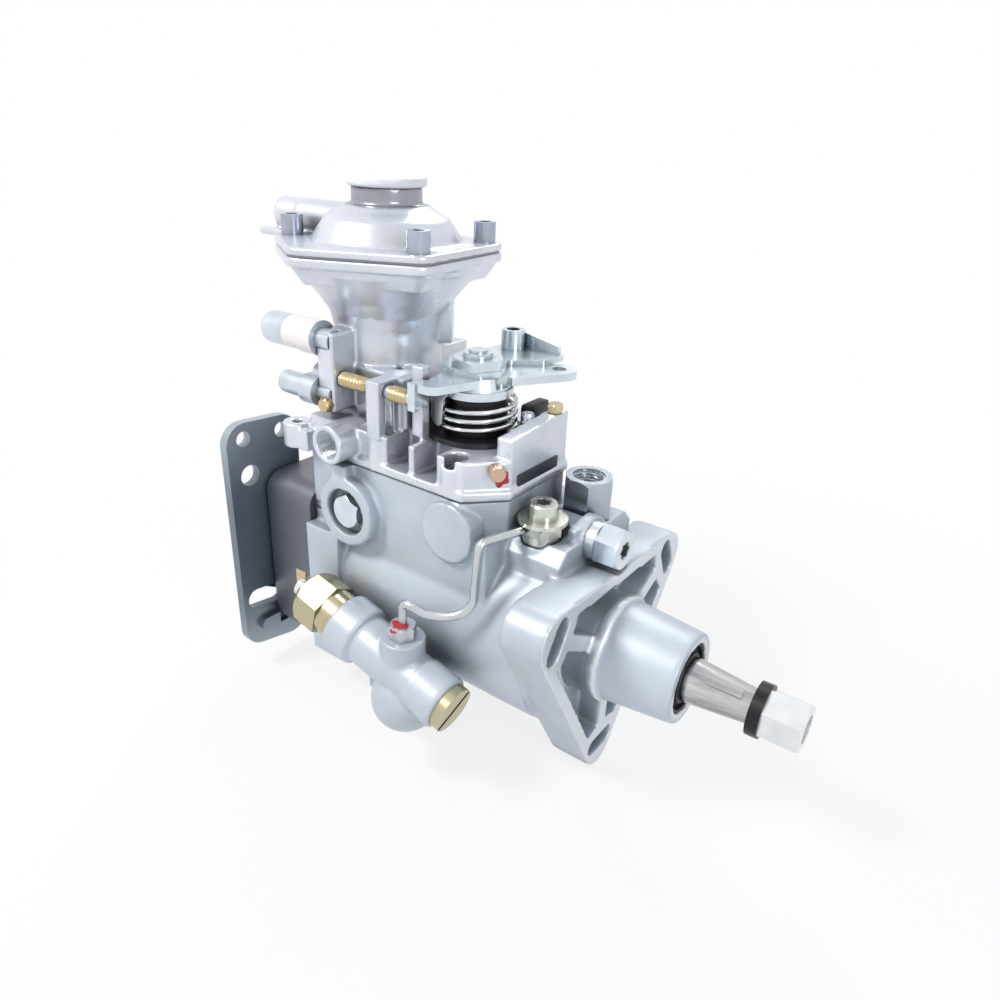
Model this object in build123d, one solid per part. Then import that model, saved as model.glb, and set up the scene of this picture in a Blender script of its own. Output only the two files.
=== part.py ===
from build123d import *
import math
import os

# Diesel injection pump of the distributor type, for four cylinders, with a boost-controlled governor.
# Millimetres. The origin is the centre of the pilot at the flange mounting face. +X runs along the
# drive shaft out of the nose, +Z is up, and the fittings side of the pump faces -Y.

# Fits between pieces
running = 0.05
side_play = 0.3
stop_gap = 0.2

# Drive shaft and its end pieces
shaft_r = 10.0
taper_end_r = 7.5
taper_length = 26.0
taper_start = 2.0
thread_r = 6.0
washer_r = 11.5
washer_thick = 5.0
nut_flats = 19.0
nut_length = 16.0
key_width = 4.0
key_disc_r = 7.7
key_depth = 6.0
key_stand = 1.4
key_angle = 35.0

# Nose, pilot and flange
nose_length = 38.0
nose_root_r = 23.5
nose_tip_r = 20.5
pilot_r = 25.0
hub_r = 24.2
pilot_length = 5.0
flange_thick = 20.0
pocket_depth = 12.0
lobe_pitch_r = 56.0
lobe_r = 12.5
lobe_angles = (150.0, 25.0, 270.0)
slot_half_width = 4.5
slot_half_angle = 6.0
rim_wall = 6.5
seal_r = 16.0
seal_thick = 6.0
seal_recess = 1.0
bush_wall = 2.0
bush_length = 26.0

# Housing body and chambers
body_r = 44.0
body_wall = 6.0
spring_room = 36.9
rear_block_length = 22.0
rear_block_half = 45.0
rear_block_step = 29.0
gasket_z = 66.0
gasket_thick = 1.0
top_half_y = 38.0
top_wall = 6.0
deck_z = 50.0
deck_front = -16.0
deck_length = 28.0
pad_rise = 5.0
front_wall = 4.5
disc_boss_r = 14.0
disc_boss_z = 51.0

# Vane pump
pump_bore_r = 32.0
pump_depth = 13.0
pump_plate_thick = 3.0
liner_eccentric = 3.0
liner_inner_r = 25.0
vane_thick = 2.0
vane_length = 8.0

# Governor gears
gear_teeth = 37
pinion_teeth = 23
gear_width = 6.0
gear_gap = 2.5
governor_y = 3.0
governor_z = 47.0
governor_shaft_r = 4.0

# Coupling, roller ring and cam plate
coupling_r = 11.5
coupling_thick = 6.0
claw_half = 3.0
claw_inner_r = 5.0
claw_reach = 9.0
coupling_x = -70.0
ring_r = 28.5
ring_bore_r = 13.0
ring_thick = 14.0
ring_front = -79.0
roller_count = 4
roller_r = 7.3
roller_length = 11.5
roller_mid_r = 21.0
roller_stand = 3.9
roller_pin_r = 2.0
cam_r = 28.0
cam_thick = 8.0
cam_lift = 3.0
cam_lobe_r = 14.0
ring_pin_r = 3.0

# Distributor plunger and what works on it
plunger_r = 5.0
plunger_foot_r = 9.0
plunger_foot_thick = 2.0
bridge_thick = 3.0
bridge_half_z = 8.0
plunger_spring_y = 28.0
plunger_spring_r = 5.0
plunger_spring_wire_r = 1.0
plunger_stroke = 3.0
collar_r = 11.0
collar_length = 9.0
collar_ahead = 28.0

# Distributor head
head_length = 34.0
head_half_y = 42.0
head_half_z = 45.0
head_corner_r = 10.0
head_nose_r = 20.0
head_nose_length = 19.0
valve_pitch_r = 24.0
valve_count = 4
valve_spigot_r = 8.0
valve_spigot_length = 14.0
valve_flats = 17.0
valve_hex_length = 12.0
valve_thread_r = 6.0
valve_thread_length = 20.0
valve_bore_r = 4.5
delivery_valve_r = 4.4
delivery_valve_length = 13.0
valve_lift = 2.0
centre_plug_r = 8.0
centre_plug_depth = 9.0

# Shut-off solenoid on the head
solenoid_behind = 22.0
solenoid_y = 20.0
solenoid_r = 12.0
solenoid_thread_r = 9.0
solenoid_depth = 14.0
solenoid_flats = 22.0
solenoid_hex = 8.0
solenoid_can = 32.0
solenoid_plunger_r = 3.9

# Injection advance below the roller ring
timing_x = -86.0
timing_z = -40.0
timing_piston_r = 10.0
timing_wall = 4.5
timing_half = 44.0
timing_piston_half = 22.0
timing_travel = 6.0
timing_cover_thick = 6.0
timing_cover_half = 18.0

# Governor weights, sleeve and levers
carrier_r = 20.0
carrier_thick = 2.0
weight_count = 4
weight_pivot_r = 14.0
weight_pivot_drop = 3.0
weight_pin_r = 1.5
weight_half_width = 6.0
weight_inner_r = 10.5
weight_outer_r = 17.5
weight_length = 13.0
weight_toe_r = 2.0
weight_toe_reach = 7.0
ear_thick = 2.4
sleeve_flange_r = 9.0
sleeve_r = 6.0
sleeve_flange_thick = 3.0
sleeve_reach = 12.2
lever_pivot_z = 24.0
lever_thick = 4.0
lever_half_width = 7.0
lever_top_z = 64.0
lever_ball_r = 2.5
lever_ball_z = 8.9
push_ball_r = 3.0
pivot_bolt_z = 43.5
pivot_bolt_r = 4.0
pivot_boss_r = 17.0
pivot_counterbore_r = 11.5
bolt_flats = 15.0
bolt_head = 5.5
corrector_plate = 2.0
corrector_half_y = 28.0

# Governor cover
cover_z = 84.0
cover_roof = 4.0
cover_side_y = 38.0
cover_corner_y = 23.0
cover_far_corner_y = 20.5
cover_corner_x = -58.0
front_rise = 12.0
front_top = 8.0
tower_ahead = 16.0
tower_r = 26.0
rear_raise_z = 100.0
rim_z = 157.5
rim_thick = 4.0
rim_corner_pitch_r = 44.0
rim_corner_r = 8.0
rim_corner_angles = (-30.0, 40.0, 120.0, 212.0, 262.0)
bowl_r = 36.0
bowl_depth = 9.0

# Boost chamber cover
diaphragm_thick = 0.8
boost_rim_thick = 3.2
dome_base_r = 34.5
dome_shoulder_r = 22.0
dome_height = 15.2
neck_r = 15.8
neck_top_z = 184.0
boost_wall = 3.0
cap_r = 18.0
cap_thick = 4.5
hose_port_r = 8.0
hose_port_length = 13.0
hose_base_r = 8.5
hose_base_length = 27.0
hose_bore_r = 5.5
boost_pin_r = 4.0
boost_pin_length = 58.0
boost_pin_top = 6.0

# Control lever on the cover
control_x = -77.0
control_y = -4.5
control_shaft_r = 6.0
control_pin_back = 10.5
control_pin_r = 2.2
governor_spring_gap = 2.0
control_thread_r = 4.0
base_r = 22.0
base_thick = 2.5
return_spring_r = 17.6
return_spring_wire_r = 1.1
return_spring_height = 16.5
cup_r = 16.3
cup_thick = 3.5
lever_hub_thick = 5.3
lever_arm_thick = 3.5
lever_top_thick = 2.5
lever_seat_flats = 21.0
lever_seat_thick = 4.3
lever_collar_r = 6.5
lever_collar_height = 2.2
clamp_r = 3.0
clamp_head_r = 5.5
clamp_head_height = 9.2

# Adjusting screws on the cover
idle_y = -34.0
idle_z = 104.0
idle_r = 3.0
idle_tip_x = -88.0
lug_front_x = -103.0
lug_front_thick = 8.0
lug_rear_ahead = 19.5
lug_rear_thick = 10.0
capped_y = -36.0
capped_z = 121.0
capped_r = 8.0
capped_length = 36.0
lower_y = -40.0
lower_z = 97.0
lower_r = 5.5
lower_length = 26.0

# Fittings on the deck
valve_x = -33.0
valve_y = -13.0
inlet_x = -29.5
inlet_y = 18.5
inlet_flats = 21.0
inlet_bore_r = 7.5
inlet_height = 19.0
inlet_spigot = 10.0
inlet_spigot_r = 8.5

# Return port boss on the near side of the cover
port_ahead = 23.5
port_z = 77.5
port_r = 9.3
port_bore_r = 6.5
port_end_y = -50.0

# Side unit of the injection advance
unit_y = -60.0
unit_rear_x = -109.0
unit_rear_z = -3.0
unit_front_x = -46.5
unit_front_z = -19.6
unit_collar_r = 14.5
unit_collar_length = 15.0
unit_tube_r = 12.0
unit_piston_bore_r = 7.0
unit_boss_x = -71.6
unit_boss_r = 10.0
unit_boss_top = 5.0
unit_plug_r = 10.8
unit_plug_thick = 4.5
unit_hex_flats = 24.0
unit_hex_length = 14.0
unit_neck_length = 8.0
bulge_r = 16.0
bulge_x = -70.0
bulge_z = -27.0

# Pressure pipe between the deck and the side unit
pipe_r = 2.0
pipe_bend_r = 3.0
union_flats = 11.0
union_height = 6.5

# Rear bracket plate
bracket_thick = 5.0
bracket_left_y = -62.0
bracket_top_z = 75.0
bracket_bottom_z = -52.0
bracket_corner_r = 11.0
bracket_hole_small_r = 4.0
bracket_hole_large_r = 5.5

# Socket screws
screw_r = 3.0
screw_head_r = 5.0
screw_head_height = 8.0

# Places that follow from the sizes above
seal_front = nose_length - seal_recess
seal_back = seal_front - seal_thick
bush_front = seal_back - 5.0
bush_back = bush_front - bush_length
bush_r = shaft_r + running + bush_wall
taper_x = nose_length + taper_start
taper_end_x = taper_x + taper_length
nut_x = taper_end_x + washer_thick
flange_back = -flange_thick
cavity_r = body_r - body_wall
deck_back = deck_front - deck_length
cover_front = deck_back
chamber_front = cover_front - front_wall
pump_back = chamber_front + pump_plate_thick
pump_front = pump_back + pump_depth
gear_front = chamber_front - gear_gap
gear_back = gear_front - gear_width
gear_distance = math.hypot(governor_y, governor_z)
gear_module = 2 * gear_distance / (gear_teeth + pinion_teeth)
gear_line = math.degrees(math.atan2(governor_z, governor_y))
ring_back = ring_front - ring_thick
roller_x = ring_back - roller_stand + roller_r
cam_front = ring_back - roller_stand - running * 2 - plunger_stroke
cam_back = cam_front - cam_thick
foot_back = cam_back - plunger_foot_thick
bridge_front = foot_back - running * 2
bridge_back = bridge_front - bridge_thick
body_back = bridge_back - spring_room
collar_x = body_back + collar_ahead
sleeve_end = collar_x + sleeve_reach
solenoid_x = body_back - solenoid_behind
tower_x = body_back + tower_ahead
port_x = body_back + port_ahead
lug_rear_x = body_back + lug_rear_ahead
head_front = body_back
head_back = head_front - head_length
chamber_half_y = top_half_y - top_wall
cover_base = gasket_z + gasket_thick
cover_inner_z = cover_z - cover_roof
lever_seat_z = cover_z + base_thick + return_spring_height + side_play
lever_plate_z = lever_seat_z + cup_thick
lever_top = lever_plate_z + lever_hub_thick
lever_seat_base = lever_top + lever_top_thick
governor_side = governor_y + carrier_r + 0.8
boost_base = rim_z + diaphragm_thick
dome_z = boost_base + boost_rim_thick
unit_slope = math.atan2(unit_rear_z - unit_front_z, unit_front_x - unit_rear_x)
unit_length = math.hypot(unit_front_x - unit_rear_x, unit_rear_z - unit_front_z)
unit_axis = (math.cos(unit_slope), 0, -math.sin(unit_slope))

LOW = (Align.CENTER, Align.CENTER, Align.MIN)
X = (1, 0, 0)
REAR = (-1, 0, 0)
NEAR = (0, -1, 0)
FAR = (0, 1, 0)
UP = (0, 0, 1)
DOWN = (0, 0, -1)


def bar(start, toward, radius, length):
    """Round bar from a point along a direction."""
    return Plane(origin=start, z_dir=toward) * Cylinder(radius, length, align=LOW)


def cone(start, toward, radius, end_radius, length):
    """Tapered bar from a point along a direction."""
    return Plane(origin=start, z_dir=toward) * Cone(radius, end_radius, length, align=LOW)


def hexagon(start, toward, flats, length):
    """Hexagonal bar, given across its flats."""
    outline = Plane(origin=start, z_dir=toward) * RegularPolygon(flats / 2, 6, major_radius=False)
    return extrude(outline, amount=length, dir=toward)


def nut_shape(start, toward, flats, length):
    """Hexagon whose outer corners are turned off to a cone at its far end."""
    turned = bar(start, toward, flats * 0.575, length)
    turned = chamfer(turned.edges().group_by(Axis(start, toward))[-1], flats * 0.07)
    return hexagon(start, toward, flats, length) & turned


def ring(start, toward, radius, bore, length):
    """Round bar with a bore along it."""
    return bar(start, toward, radius, length) - bar(start, toward, bore, length)


def block(x0, x1, y0, y1, z0, z1):
    """Box between two corners."""
    middle = Pos((x0 + x1) / 2, (y0 + y1) / 2, (z0 + z1) / 2)
    return middle * Box(abs(x1 - x0), abs(y1 - y0), abs(z1 - z0))


def across(x, y=0.0, z=0.0):
    """Plane square to the drive shaft, whose own axes are +Y and +Z."""
    return Plane(origin=(x, y, z), x_dir=FAR, z_dir=X)


def coil(start, toward, radius, wire_r, length, turns):
    """Helical spring whose wire stays inside its length."""
    rise = length - 2 * wire_r
    seat = Plane(origin=start, z_dir=toward).offset(wire_r)
    path = seat * Helix(rise / turns, rise, radius)
    wire = Plane(origin=path @ 0, z_dir=path % 0) * Circle(wire_r)
    return sweep(wire, path=path, is_frenet=True)


def around(x, pitch_r, degrees):
    """Point on a circle about the drive shaft."""
    turn = math.radians(degrees)
    return (x, pitch_r * math.cos(turn), pitch_r * math.sin(turn))


def strap(first, first_r, second, second_r, z0, z1):
    """Flat link in plan: the hull of two circles, between two heights."""
    ends = Pos(*first) * Circle(first_r) + Pos(*second) * Circle(second_r)
    return Pos(0, 0, z0) * extrude(make_hull(ends.edges()), amount=z1 - z0)


def save(shape, name):
    """One file for each sub-part."""
    export_step(shape, "parts/" + name + ".step")


def together(shapes):
    """Several separate solids as one sub-part."""
    solids = []
    for shape in shapes:
        solids += list(shape.solids())
    return Compound(children=solids)


# Flange and housing
def flange():
    """Three lobes joined by their hull, with slots, and pockets between hub, webs and rim."""
    lobes = Sketch()
    for angle in lobe_angles:
        lobes += Rot(0, 0, angle) * (Pos(lobe_pitch_r, 0) * Circle(lobe_r))
    outline = make_hull(lobes.edges())
    plate = across(flange_back) * extrude(outline, amount=flange_thick)
    inside = offset(outline, amount=-rim_wall) - Circle(hub_r)
    for angle in lobe_angles:
        slot = Sketch()
        for side in (-1, 1):
            end = Pos(lobe_pitch_r, 0) * Circle(slot_half_width)
            slot += Rot(0, 0, angle + side * slot_half_angle) * end
        boss = offset(make_hull(slot.edges()), amount=rim_wall)
        web = Rot(0, 0, angle) * (Pos(lobe_pitch_r / 2, 0) * Rectangle(lobe_pitch_r, rim_wall + 1.0))
        inside -= boss
        inside -= web
    pockets = across(-pocket_depth) * extrude(inside, amount=pocket_depth + 1.0)
    return plate - pockets


def flange_slots():
    """Curved holes that let the pump turn about its pilot for timing."""
    cut = []
    for angle in lobe_angles:
        arc_slot = Sketch()
        steps = 4
        for step in range(steps + 1):
            turn = angle + slot_half_angle * (2 * step / steps - 1)
            arc_slot += Rot(0, 0, turn) * (Pos(lobe_pitch_r, 0) * Circle(slot_half_width))
        arc_slot = make_hull(arc_slot.edges())
        cut.append(across(flange_back - 1) * extrude(arc_slot, amount=flange_thick + 2))
    return cut


def pump_housing():
    """One casting: nose, flange, round body, governor chamber, deck, rear block and bosses."""
    shell = flange()
    shell += bar((-flange_thick, 0, 0), X, hub_r, flange_thick)
    shell += bar((0, 0, 0), X, pilot_r, pilot_length)
    shell += cone((pilot_length, 0, 0), X, nose_root_r, nose_tip_r, nose_length - pilot_length)
    shell += bar((flange_back, 0, 0), REAR, body_r, flange_back - body_back)
    chest_top = block(body_back, deck_back, -top_half_y, top_half_y, 0, gasket_z)
    for side, corner_y in ((-1, cover_corner_y), (1, cover_far_corner_y)):
        corner = Polyline(
            (cover_corner_x, side * (top_half_y + 1)),
            (cover_front + 1, side * (top_half_y + 1)),
            (cover_front + 1, side * corner_y),
            (cover_front, side * corner_y),
            (cover_corner_x, side * top_half_y),
            close=True,
        )
        chest_top -= Pos(0, 0, deck_z) * extrude(make_face(corner), amount=gasket_z)
    shell += chest_top
    deck = block(deck_back, deck_front, -top_half_y + 13, top_half_y, 0, deck_z)
    deck = chamfer(deck.edges().filter_by(Axis.X).group_by(Axis.Z)[-1], 6.0)
    shell += deck
    pad_side = inlet_y - inlet_flats / 2 - 1.5
    pad = block(deck_back, deck_front - 2, -10, pad_side, deck_z - 1, deck_z + pad_rise)
    shell += pad
    shell += bar((valve_x, valve_y, deck_z - 20), UP, 10.5, 18)
    shell += bar((deck_front - 6, governor_y, governor_z), X, 11.0, 6)
    block_z = rear_block_half
    shell += block(body_back, body_back + rear_block_length, -block_z, block_z, -block_z, rear_block_step)
    shell += block(body_back, body_back + rear_block_length, -top_half_y, top_half_y, 0, gasket_z)
    for side in (-1, 1):
        foot = (collar_x, side * (chamber_half_y + 1), pivot_bolt_z)
        shell += bar(foot, (0, side, 0), pivot_boss_r, rear_block_half - chamber_half_y - 1)
    neck = block(port_x - 5, port_x + 5, -rear_block_half + 1, -top_half_y + 1, pivot_bolt_z, gasket_z)
    shell += neck
    shell += bar((-64, -top_half_y + 6, disc_boss_z), NEAR, disc_boss_r, 9)
    reach = timing_piston_r + timing_wall
    shell += bar((timing_x, -timing_half, timing_z), FAR, reach, 2 * timing_half)
    for cut in housing_cuts():
        shell -= cut
    return shell


def housing_cuts():
    """Bores and chambers of the housing."""
    cuts = flange_slots()
    cuts.append(bar((seal_back, 0, 0), X, seal_r, nose_length))
    cuts.append(bar((bush_front, 0, 0), X, seal_r - 2, seal_back - bush_front))
    cuts.append(bar((bush_back, 0, 0), X, bush_r, bush_length))
    cuts.append(bar((pump_front - 1, 0, 0), X, shaft_r + 0.5, bush_back - pump_front + 1))
    cuts.append(bar((pump_back, 0, 0), X, pump_bore_r, pump_depth))
    cavity = bar((pump_back, 0, 0), REAR, cavity_r, pump_back - body_back + 1)
    land_front = timing_x + timing_piston_r + 1
    land_back = timing_x - timing_piston_r - 1
    cavity -= ring((land_back, 0, 0), X, cavity_r + 1, ring_r + running, land_front - land_back)
    cuts.append(cavity)
    half_y = chamber_half_y
    cuts.append(block(cover_corner_x - 4, body_back + 10, -half_y, half_y, 20, gasket_z + 1))
    narrow = cover_corner_y - top_wall
    cuts.append(block(cover_corner_x - 5, chamber_front, -narrow, governor_side, 20, gasket_z + 1))
    cuts.append(bar((deck_front + 1, governor_y, governor_z), REAR, governor_shaft_r, 60))
    cuts.append(bar((deck_front, governor_y, governor_z), X, 11.0, flange_thick))
    timing_start = (timing_x, -timing_half - 1, timing_z)
    cuts.append(bar(timing_start, FAR, timing_piston_r + running, 2 * timing_half + 2))
    cuts.append(block(timing_x - 3.6, timing_x + 3.6, -4.5, 10, timing_z, -ring_r + 4))
    for side in (-1, 1):
        outer = side * (rear_block_half + 1)
        cuts.append(bar((collar_x, outer, pivot_bolt_z), (0, -side, 0), pivot_bolt_r, 20))
        mouth = (collar_x, outer, pivot_bolt_z)
        cuts.append(bar(mouth, (0, -side, 0), pivot_counterbore_r, bolt_head + 1.5))
    cuts.append(bar((valve_x, valve_y, deck_z - 16), UP, 7.0, 20))
    cuts.append(bar((valve_x, valve_y, deck_z - 4), UP, 9.0, 20))
    cuts.append(bar((valve_x, valve_y, deck_z + 1), UP, 11.3, 20))
    cuts.append(bar((inlet_x, inlet_y, deck_z - inlet_spigot), UP, inlet_spigot_r, 40))
    cuts.append(bar((inlet_x, inlet_y, deck_z), UP, inlet_flats * 0.575 + side_play, 20))
    for place in cover_screw_places():
        cuts.append(bar((place[0], place[1], gasket_z - 14), UP, screw_r, 20))
    for angle in head_screw_angles():
        cuts.append(bar(around(body_back - 1, head_screw_pitch(), angle), X, screw_r, 15))
    return cuts


def cover_screw_places():
    """Plan places of the four governor cover screws, with the height of each seat."""
    near = -cover_side_y + 5.0
    far = top_half_y - 7.0
    return (
        (cover_corner_x - 7.0, near, cover_z - 4.0),
        (cover_corner_x - 50.0, near, cover_z - 1.0),
        (cover_corner_x - 7.0, far, cover_z - 1.0),
        (body_back + 8.0, far, cover_z - 1.0),
    )


def head_screw_angles():
    """Corners of the distributor head."""
    return (46.0, 134.0, 226.0, 314.0)


def head_screw_pitch():
    """Distance of the head screws from the axis."""
    return math.hypot(head_half_y, head_half_z) - 10.5


# Drive line
def shaft_seal():
    """Lip seal pressed into the nose."""
    body = ring((seal_back, 0, 0), X, seal_r, shaft_r + running, seal_thick)
    groove = ring((seal_front - 2, 0, 0), X, seal_r - 1.5, shaft_r + 1.5, 3)
    return body - groove


def front_bush():
    """Plain bearing of the drive shaft."""
    return ring((bush_back, 0, 0), X, bush_r, shaft_r + running, bush_length)


def key_disc(thick):
    """Disc of the key, standing in its slot in the taper."""
    turn = math.radians(key_angle)
    out = (0, -math.sin(turn), math.cos(turn))
    side = (0, math.cos(turn), math.sin(turn))
    middle_x = taper_x + taper_length * 0.54
    surface = shaft_r - (shaft_r - taper_end_r) * 0.54
    rise = surface - key_depth + key_disc_r
    start = (middle_x, out[1] * rise - side[1] * thick / 2, out[2] * rise - side[2] * thick / 2)
    disc = bar(start, side, key_disc_r, thick)
    reach = surface + key_stand
    above = Plane(origin=(middle_x, out[1] * reach, out[2] * reach), z_dir=out)
    return disc - above * Box(4 * key_disc_r, 4 * key_disc_r, 2 * key_disc_r, align=LOW)


def drive_shaft():
    """Journal, taper, thread and the two claws that drive the coupling disc."""
    shaft = bar((coupling_x, 0, 0), X, shaft_r, taper_x - coupling_x)
    shaft += cone((taper_x, 0, 0), X, shaft_r, taper_end_r, taper_length)
    shaft += bar((taper_end_x, 0, 0), X, thread_r, washer_thick + nut_length - 1)
    for side in (-1, 1):
        y0 = side * claw_inner_r
        claw_back = coupling_x - coupling_thick
        shaft += block(claw_back, coupling_x + 1, y0, side * claw_reach, -claw_half, claw_half)
    return shaft - key_disc(key_width)


def shaft_lock_washer():
    """Split spring washer under the nut."""
    washer = ring((taper_end_x, 0, 0), X, washer_r, thread_r + 0.3, washer_thick)
    return washer - block(taper_end_x - 1, nut_x + 1, -0.8, 0.8, -washer_r - 1, 0)


def shaft_nut():
    """Nut that draws the gear onto the taper."""
    nut = nut_shape((nut_x, 0, 0), X, nut_flats, nut_length)
    return nut - bar((nut_x - 1, 0, 0), X, thread_r + running, nut_length + 2)


def gear(teeth, width, bore, turn):
    """Spur gear in its own plane, with one tooth centred on the given angle."""
    pitch_r = gear_module * teeth / 2
    tip_r = pitch_r + 0.8 * gear_module
    root_r = pitch_r - 1.1 * gear_module
    half_tooth = math.pi / teeth
    shape = (
        (-0.62, root_r),
        (-0.22, tip_r),
        (0.22, tip_r),
        (0.62, root_r),
    )
    points = []
    for tooth in range(teeth):
        for share, radius in shape:
            angle = math.radians(turn) + (2 * tooth + share) * half_tooth
            points.append((radius * math.cos(angle), radius * math.sin(angle)))
    outline = make_face(Polyline(*points, close=True))
    return extrude(outline - Circle(bore), amount=width)


def governor_drive_gear():
    """Gear on the drive shaft that turns the governor faster than the shaft."""
    turn = gear_line + 180.0 / gear_teeth
    wheel = gear(gear_teeth, gear_width, shaft_r, turn)
    for hole in range(4):
        wheel -= Rot(0, 0, 90 * hole + 45) * (Pos(18, 0) * Cylinder(3.5, 3 * gear_width))
    return across(gear_back) * wheel


def coupling_disc():
    """Cross-slotted disc between the shaft claws and the cam plate claws."""
    disc = bar((coupling_x - coupling_thick, 0, 0), X, coupling_r, coupling_thick)
    half = claw_half + 0.1
    foot = claw_inner_r - 0.2
    for turn in (0, 90, 180, 270):
        slot = block(coupling_x - coupling_thick - 1, coupling_x + 1, foot, coupling_r + 1, -half, half)
        disc -= Rot(turn, 0, 0) * slot
    return disc


# Vane pump
def vane_pump_liner():
    """Eccentric ring that the vanes run in."""
    liner = bar((pump_back, 0, 0), X, pump_bore_r, pump_depth)
    return liner - bar((pump_back - 1, 0, liner_eccentric), X, liner_inner_r, pump_depth + 2)


def vane_pump_rotor():
    """Slotted rotor with its four vanes, drawn at their shortest reach."""
    tight = liner_inner_r - liner_eccentric
    rotor_r = tight - 1.0
    back = pump_back + running
    width = pump_depth - 2 * running
    rotor = ring((back, 0, 0), X, rotor_r, shaft_r, width)
    pieces = []
    for turn in (0, 90, 180, 270):
        foot = tight - running - vane_length
        slot = block(back - 1, back + width + 1, foot - 1, tight + 1, -vane_thick / 2, vane_thick / 2)
        rotor -= Rot(turn, 0, 0) * slot
        vane = block(back, back + width, foot, tight - running, -vane_thick / 2, vane_thick / 2)
        pieces.append(Rot(turn, 0, 0) * vane)
    return together([rotor] + pieces)


def vane_pump_plate():
    """Support plate that closes the vane pump."""
    plate_r = cavity_r - side_play
    return ring((chamber_front, 0, 0), X, plate_r, shaft_r + 0.5, pump_plate_thick)


# Roller ring, cam plate and plunger
def roller_turns():
    """Angles of the rollers, midway between the cam lobes."""
    return [45 + 360 / roller_count * number for number in range(roller_count)]


def roller_ring():
    """Ring that holds the rollers, with the pin that the timing piston moves."""
    body = ring((ring_back, 0, 0), X, ring_r, ring_bore_r, ring_thick)
    half = roller_length / 2 + 0.2
    for turn in roller_turns():
        pocket = block(
            ring_back - 1,
            roller_x + roller_r + 0.1,
            -roller_r - 0.1,
            roller_r + 0.1,
            roller_mid_r - half,
            roller_mid_r + half,
        )
        pin_hole = bar((roller_x, 0, ring_bore_r + 0.5), UP, roller_pin_r, ring_r)
        body -= Rot(turn, 0, 0) * pocket
        body -= Rot(turn, 0, 0) * pin_hole
    body += bar((timing_x, 0, -ring_r + 2), DOWN, ring_pin_r, -timing_z - ring_r - 1)
    return body


def cam_rollers():
    """Four rollers on their pins."""
    rollers = []
    for turn in roller_turns():
        roller = bar((roller_x, 0, roller_mid_r - roller_length / 2), UP, roller_r, roller_length)
        pin = bar((roller_x, 0, ring_bore_r + 0.5), UP, roller_pin_r, ring_r - ring_bore_r - 1.5)
        rollers.append(Rot(turn, 0, 0) * (roller + pin))
    return together(rollers)


def cam_plate():
    """Face cam with one lobe for each cylinder, drawn at the top of its stroke, clear of the rollers."""
    plate = bar((cam_back, 0, 0), X, cam_r, cam_thick)
    band = ring((cam_front - 0.5, 0, 0), X, cam_r, ring_bore_r + 1.5, cam_lift + 1)
    lobes = Part()
    for number in range(roller_count):
        crest_x = cam_front + cam_lift - cam_lobe_r
        lobes += Rot(360 / roller_count * number, 0, 0) * bar((crest_x, 0, 0), UP, cam_lobe_r, cam_r + 5)
    plate += lobes & band
    for side in (-1, 1):
        z0 = side * claw_inner_r
        tip = coupling_x - plunger_stroke - 0.3
        plate += block(cam_front - 1, tip, -claw_half, claw_half, z0, side * claw_reach)
    return plate


def distributor_plunger():
    """Plunger with its foot, turned by the cam plate and pushed by its lobes."""
    end = head_back + centre_plug_depth + 2.0
    body = bar((foot_back, 0, 0), X, plunger_foot_r, plunger_foot_thick)
    body += bar((end, 0, 0), X, plunger_r, foot_back - end)
    spill = bar((collar_x, 0, -plunger_r - 1), UP, 1.0, 2 * plunger_r + 2)
    passage = bar((end - 1, 0, 0), X, 1.2, collar_x - end + 1)
    groove = block(end - 1, end + 6, -0.8, 0.8, plunger_r - 1.0, plunger_r + 1)
    body -= spill
    body -= passage
    for number in range(valve_count):
        body -= Rot(45 + 360 / valve_count * number, 0, 0) * groove
    return body


def spring_bridge():
    """Yoke that passes the spring force to the plunger foot."""
    reach = plunger_spring_y + plunger_spring_r + plunger_spring_wire_r
    yoke = block(bridge_back, bridge_front, -reach, reach, -bridge_half_z, bridge_half_z)
    yoke = fillet(yoke.edges().filter_by(Axis.X), bridge_half_z * 0.8)
    return yoke - bar((bridge_back - 1, 0, 0), X, plunger_r + side_play, bridge_thick + 2)


def plunger_springs():
    """Pair of return springs between the yoke and the head, drawn pressed together."""
    length = bridge_back - head_front - stop_gap
    springs = []
    for side in (-1, 1):
        start = (bridge_back, side * plunger_spring_y, 0)
        springs.append(coil(start, REAR, plunger_spring_r, plunger_spring_wire_r, length, 7))
    return together(springs)


def control_collar():
    """Spill collar on the plunger, with the hole for the lever's ball."""
    body = ring((collar_x - collar_length / 2, 0, 0), X, collar_r, plunger_r + running, collar_length)
    socket = (collar_x, 0, lever_ball_z - lever_ball_r - 0.3)
    return body - bar(socket, UP, lever_ball_r + side_play, collar_r)


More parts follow.
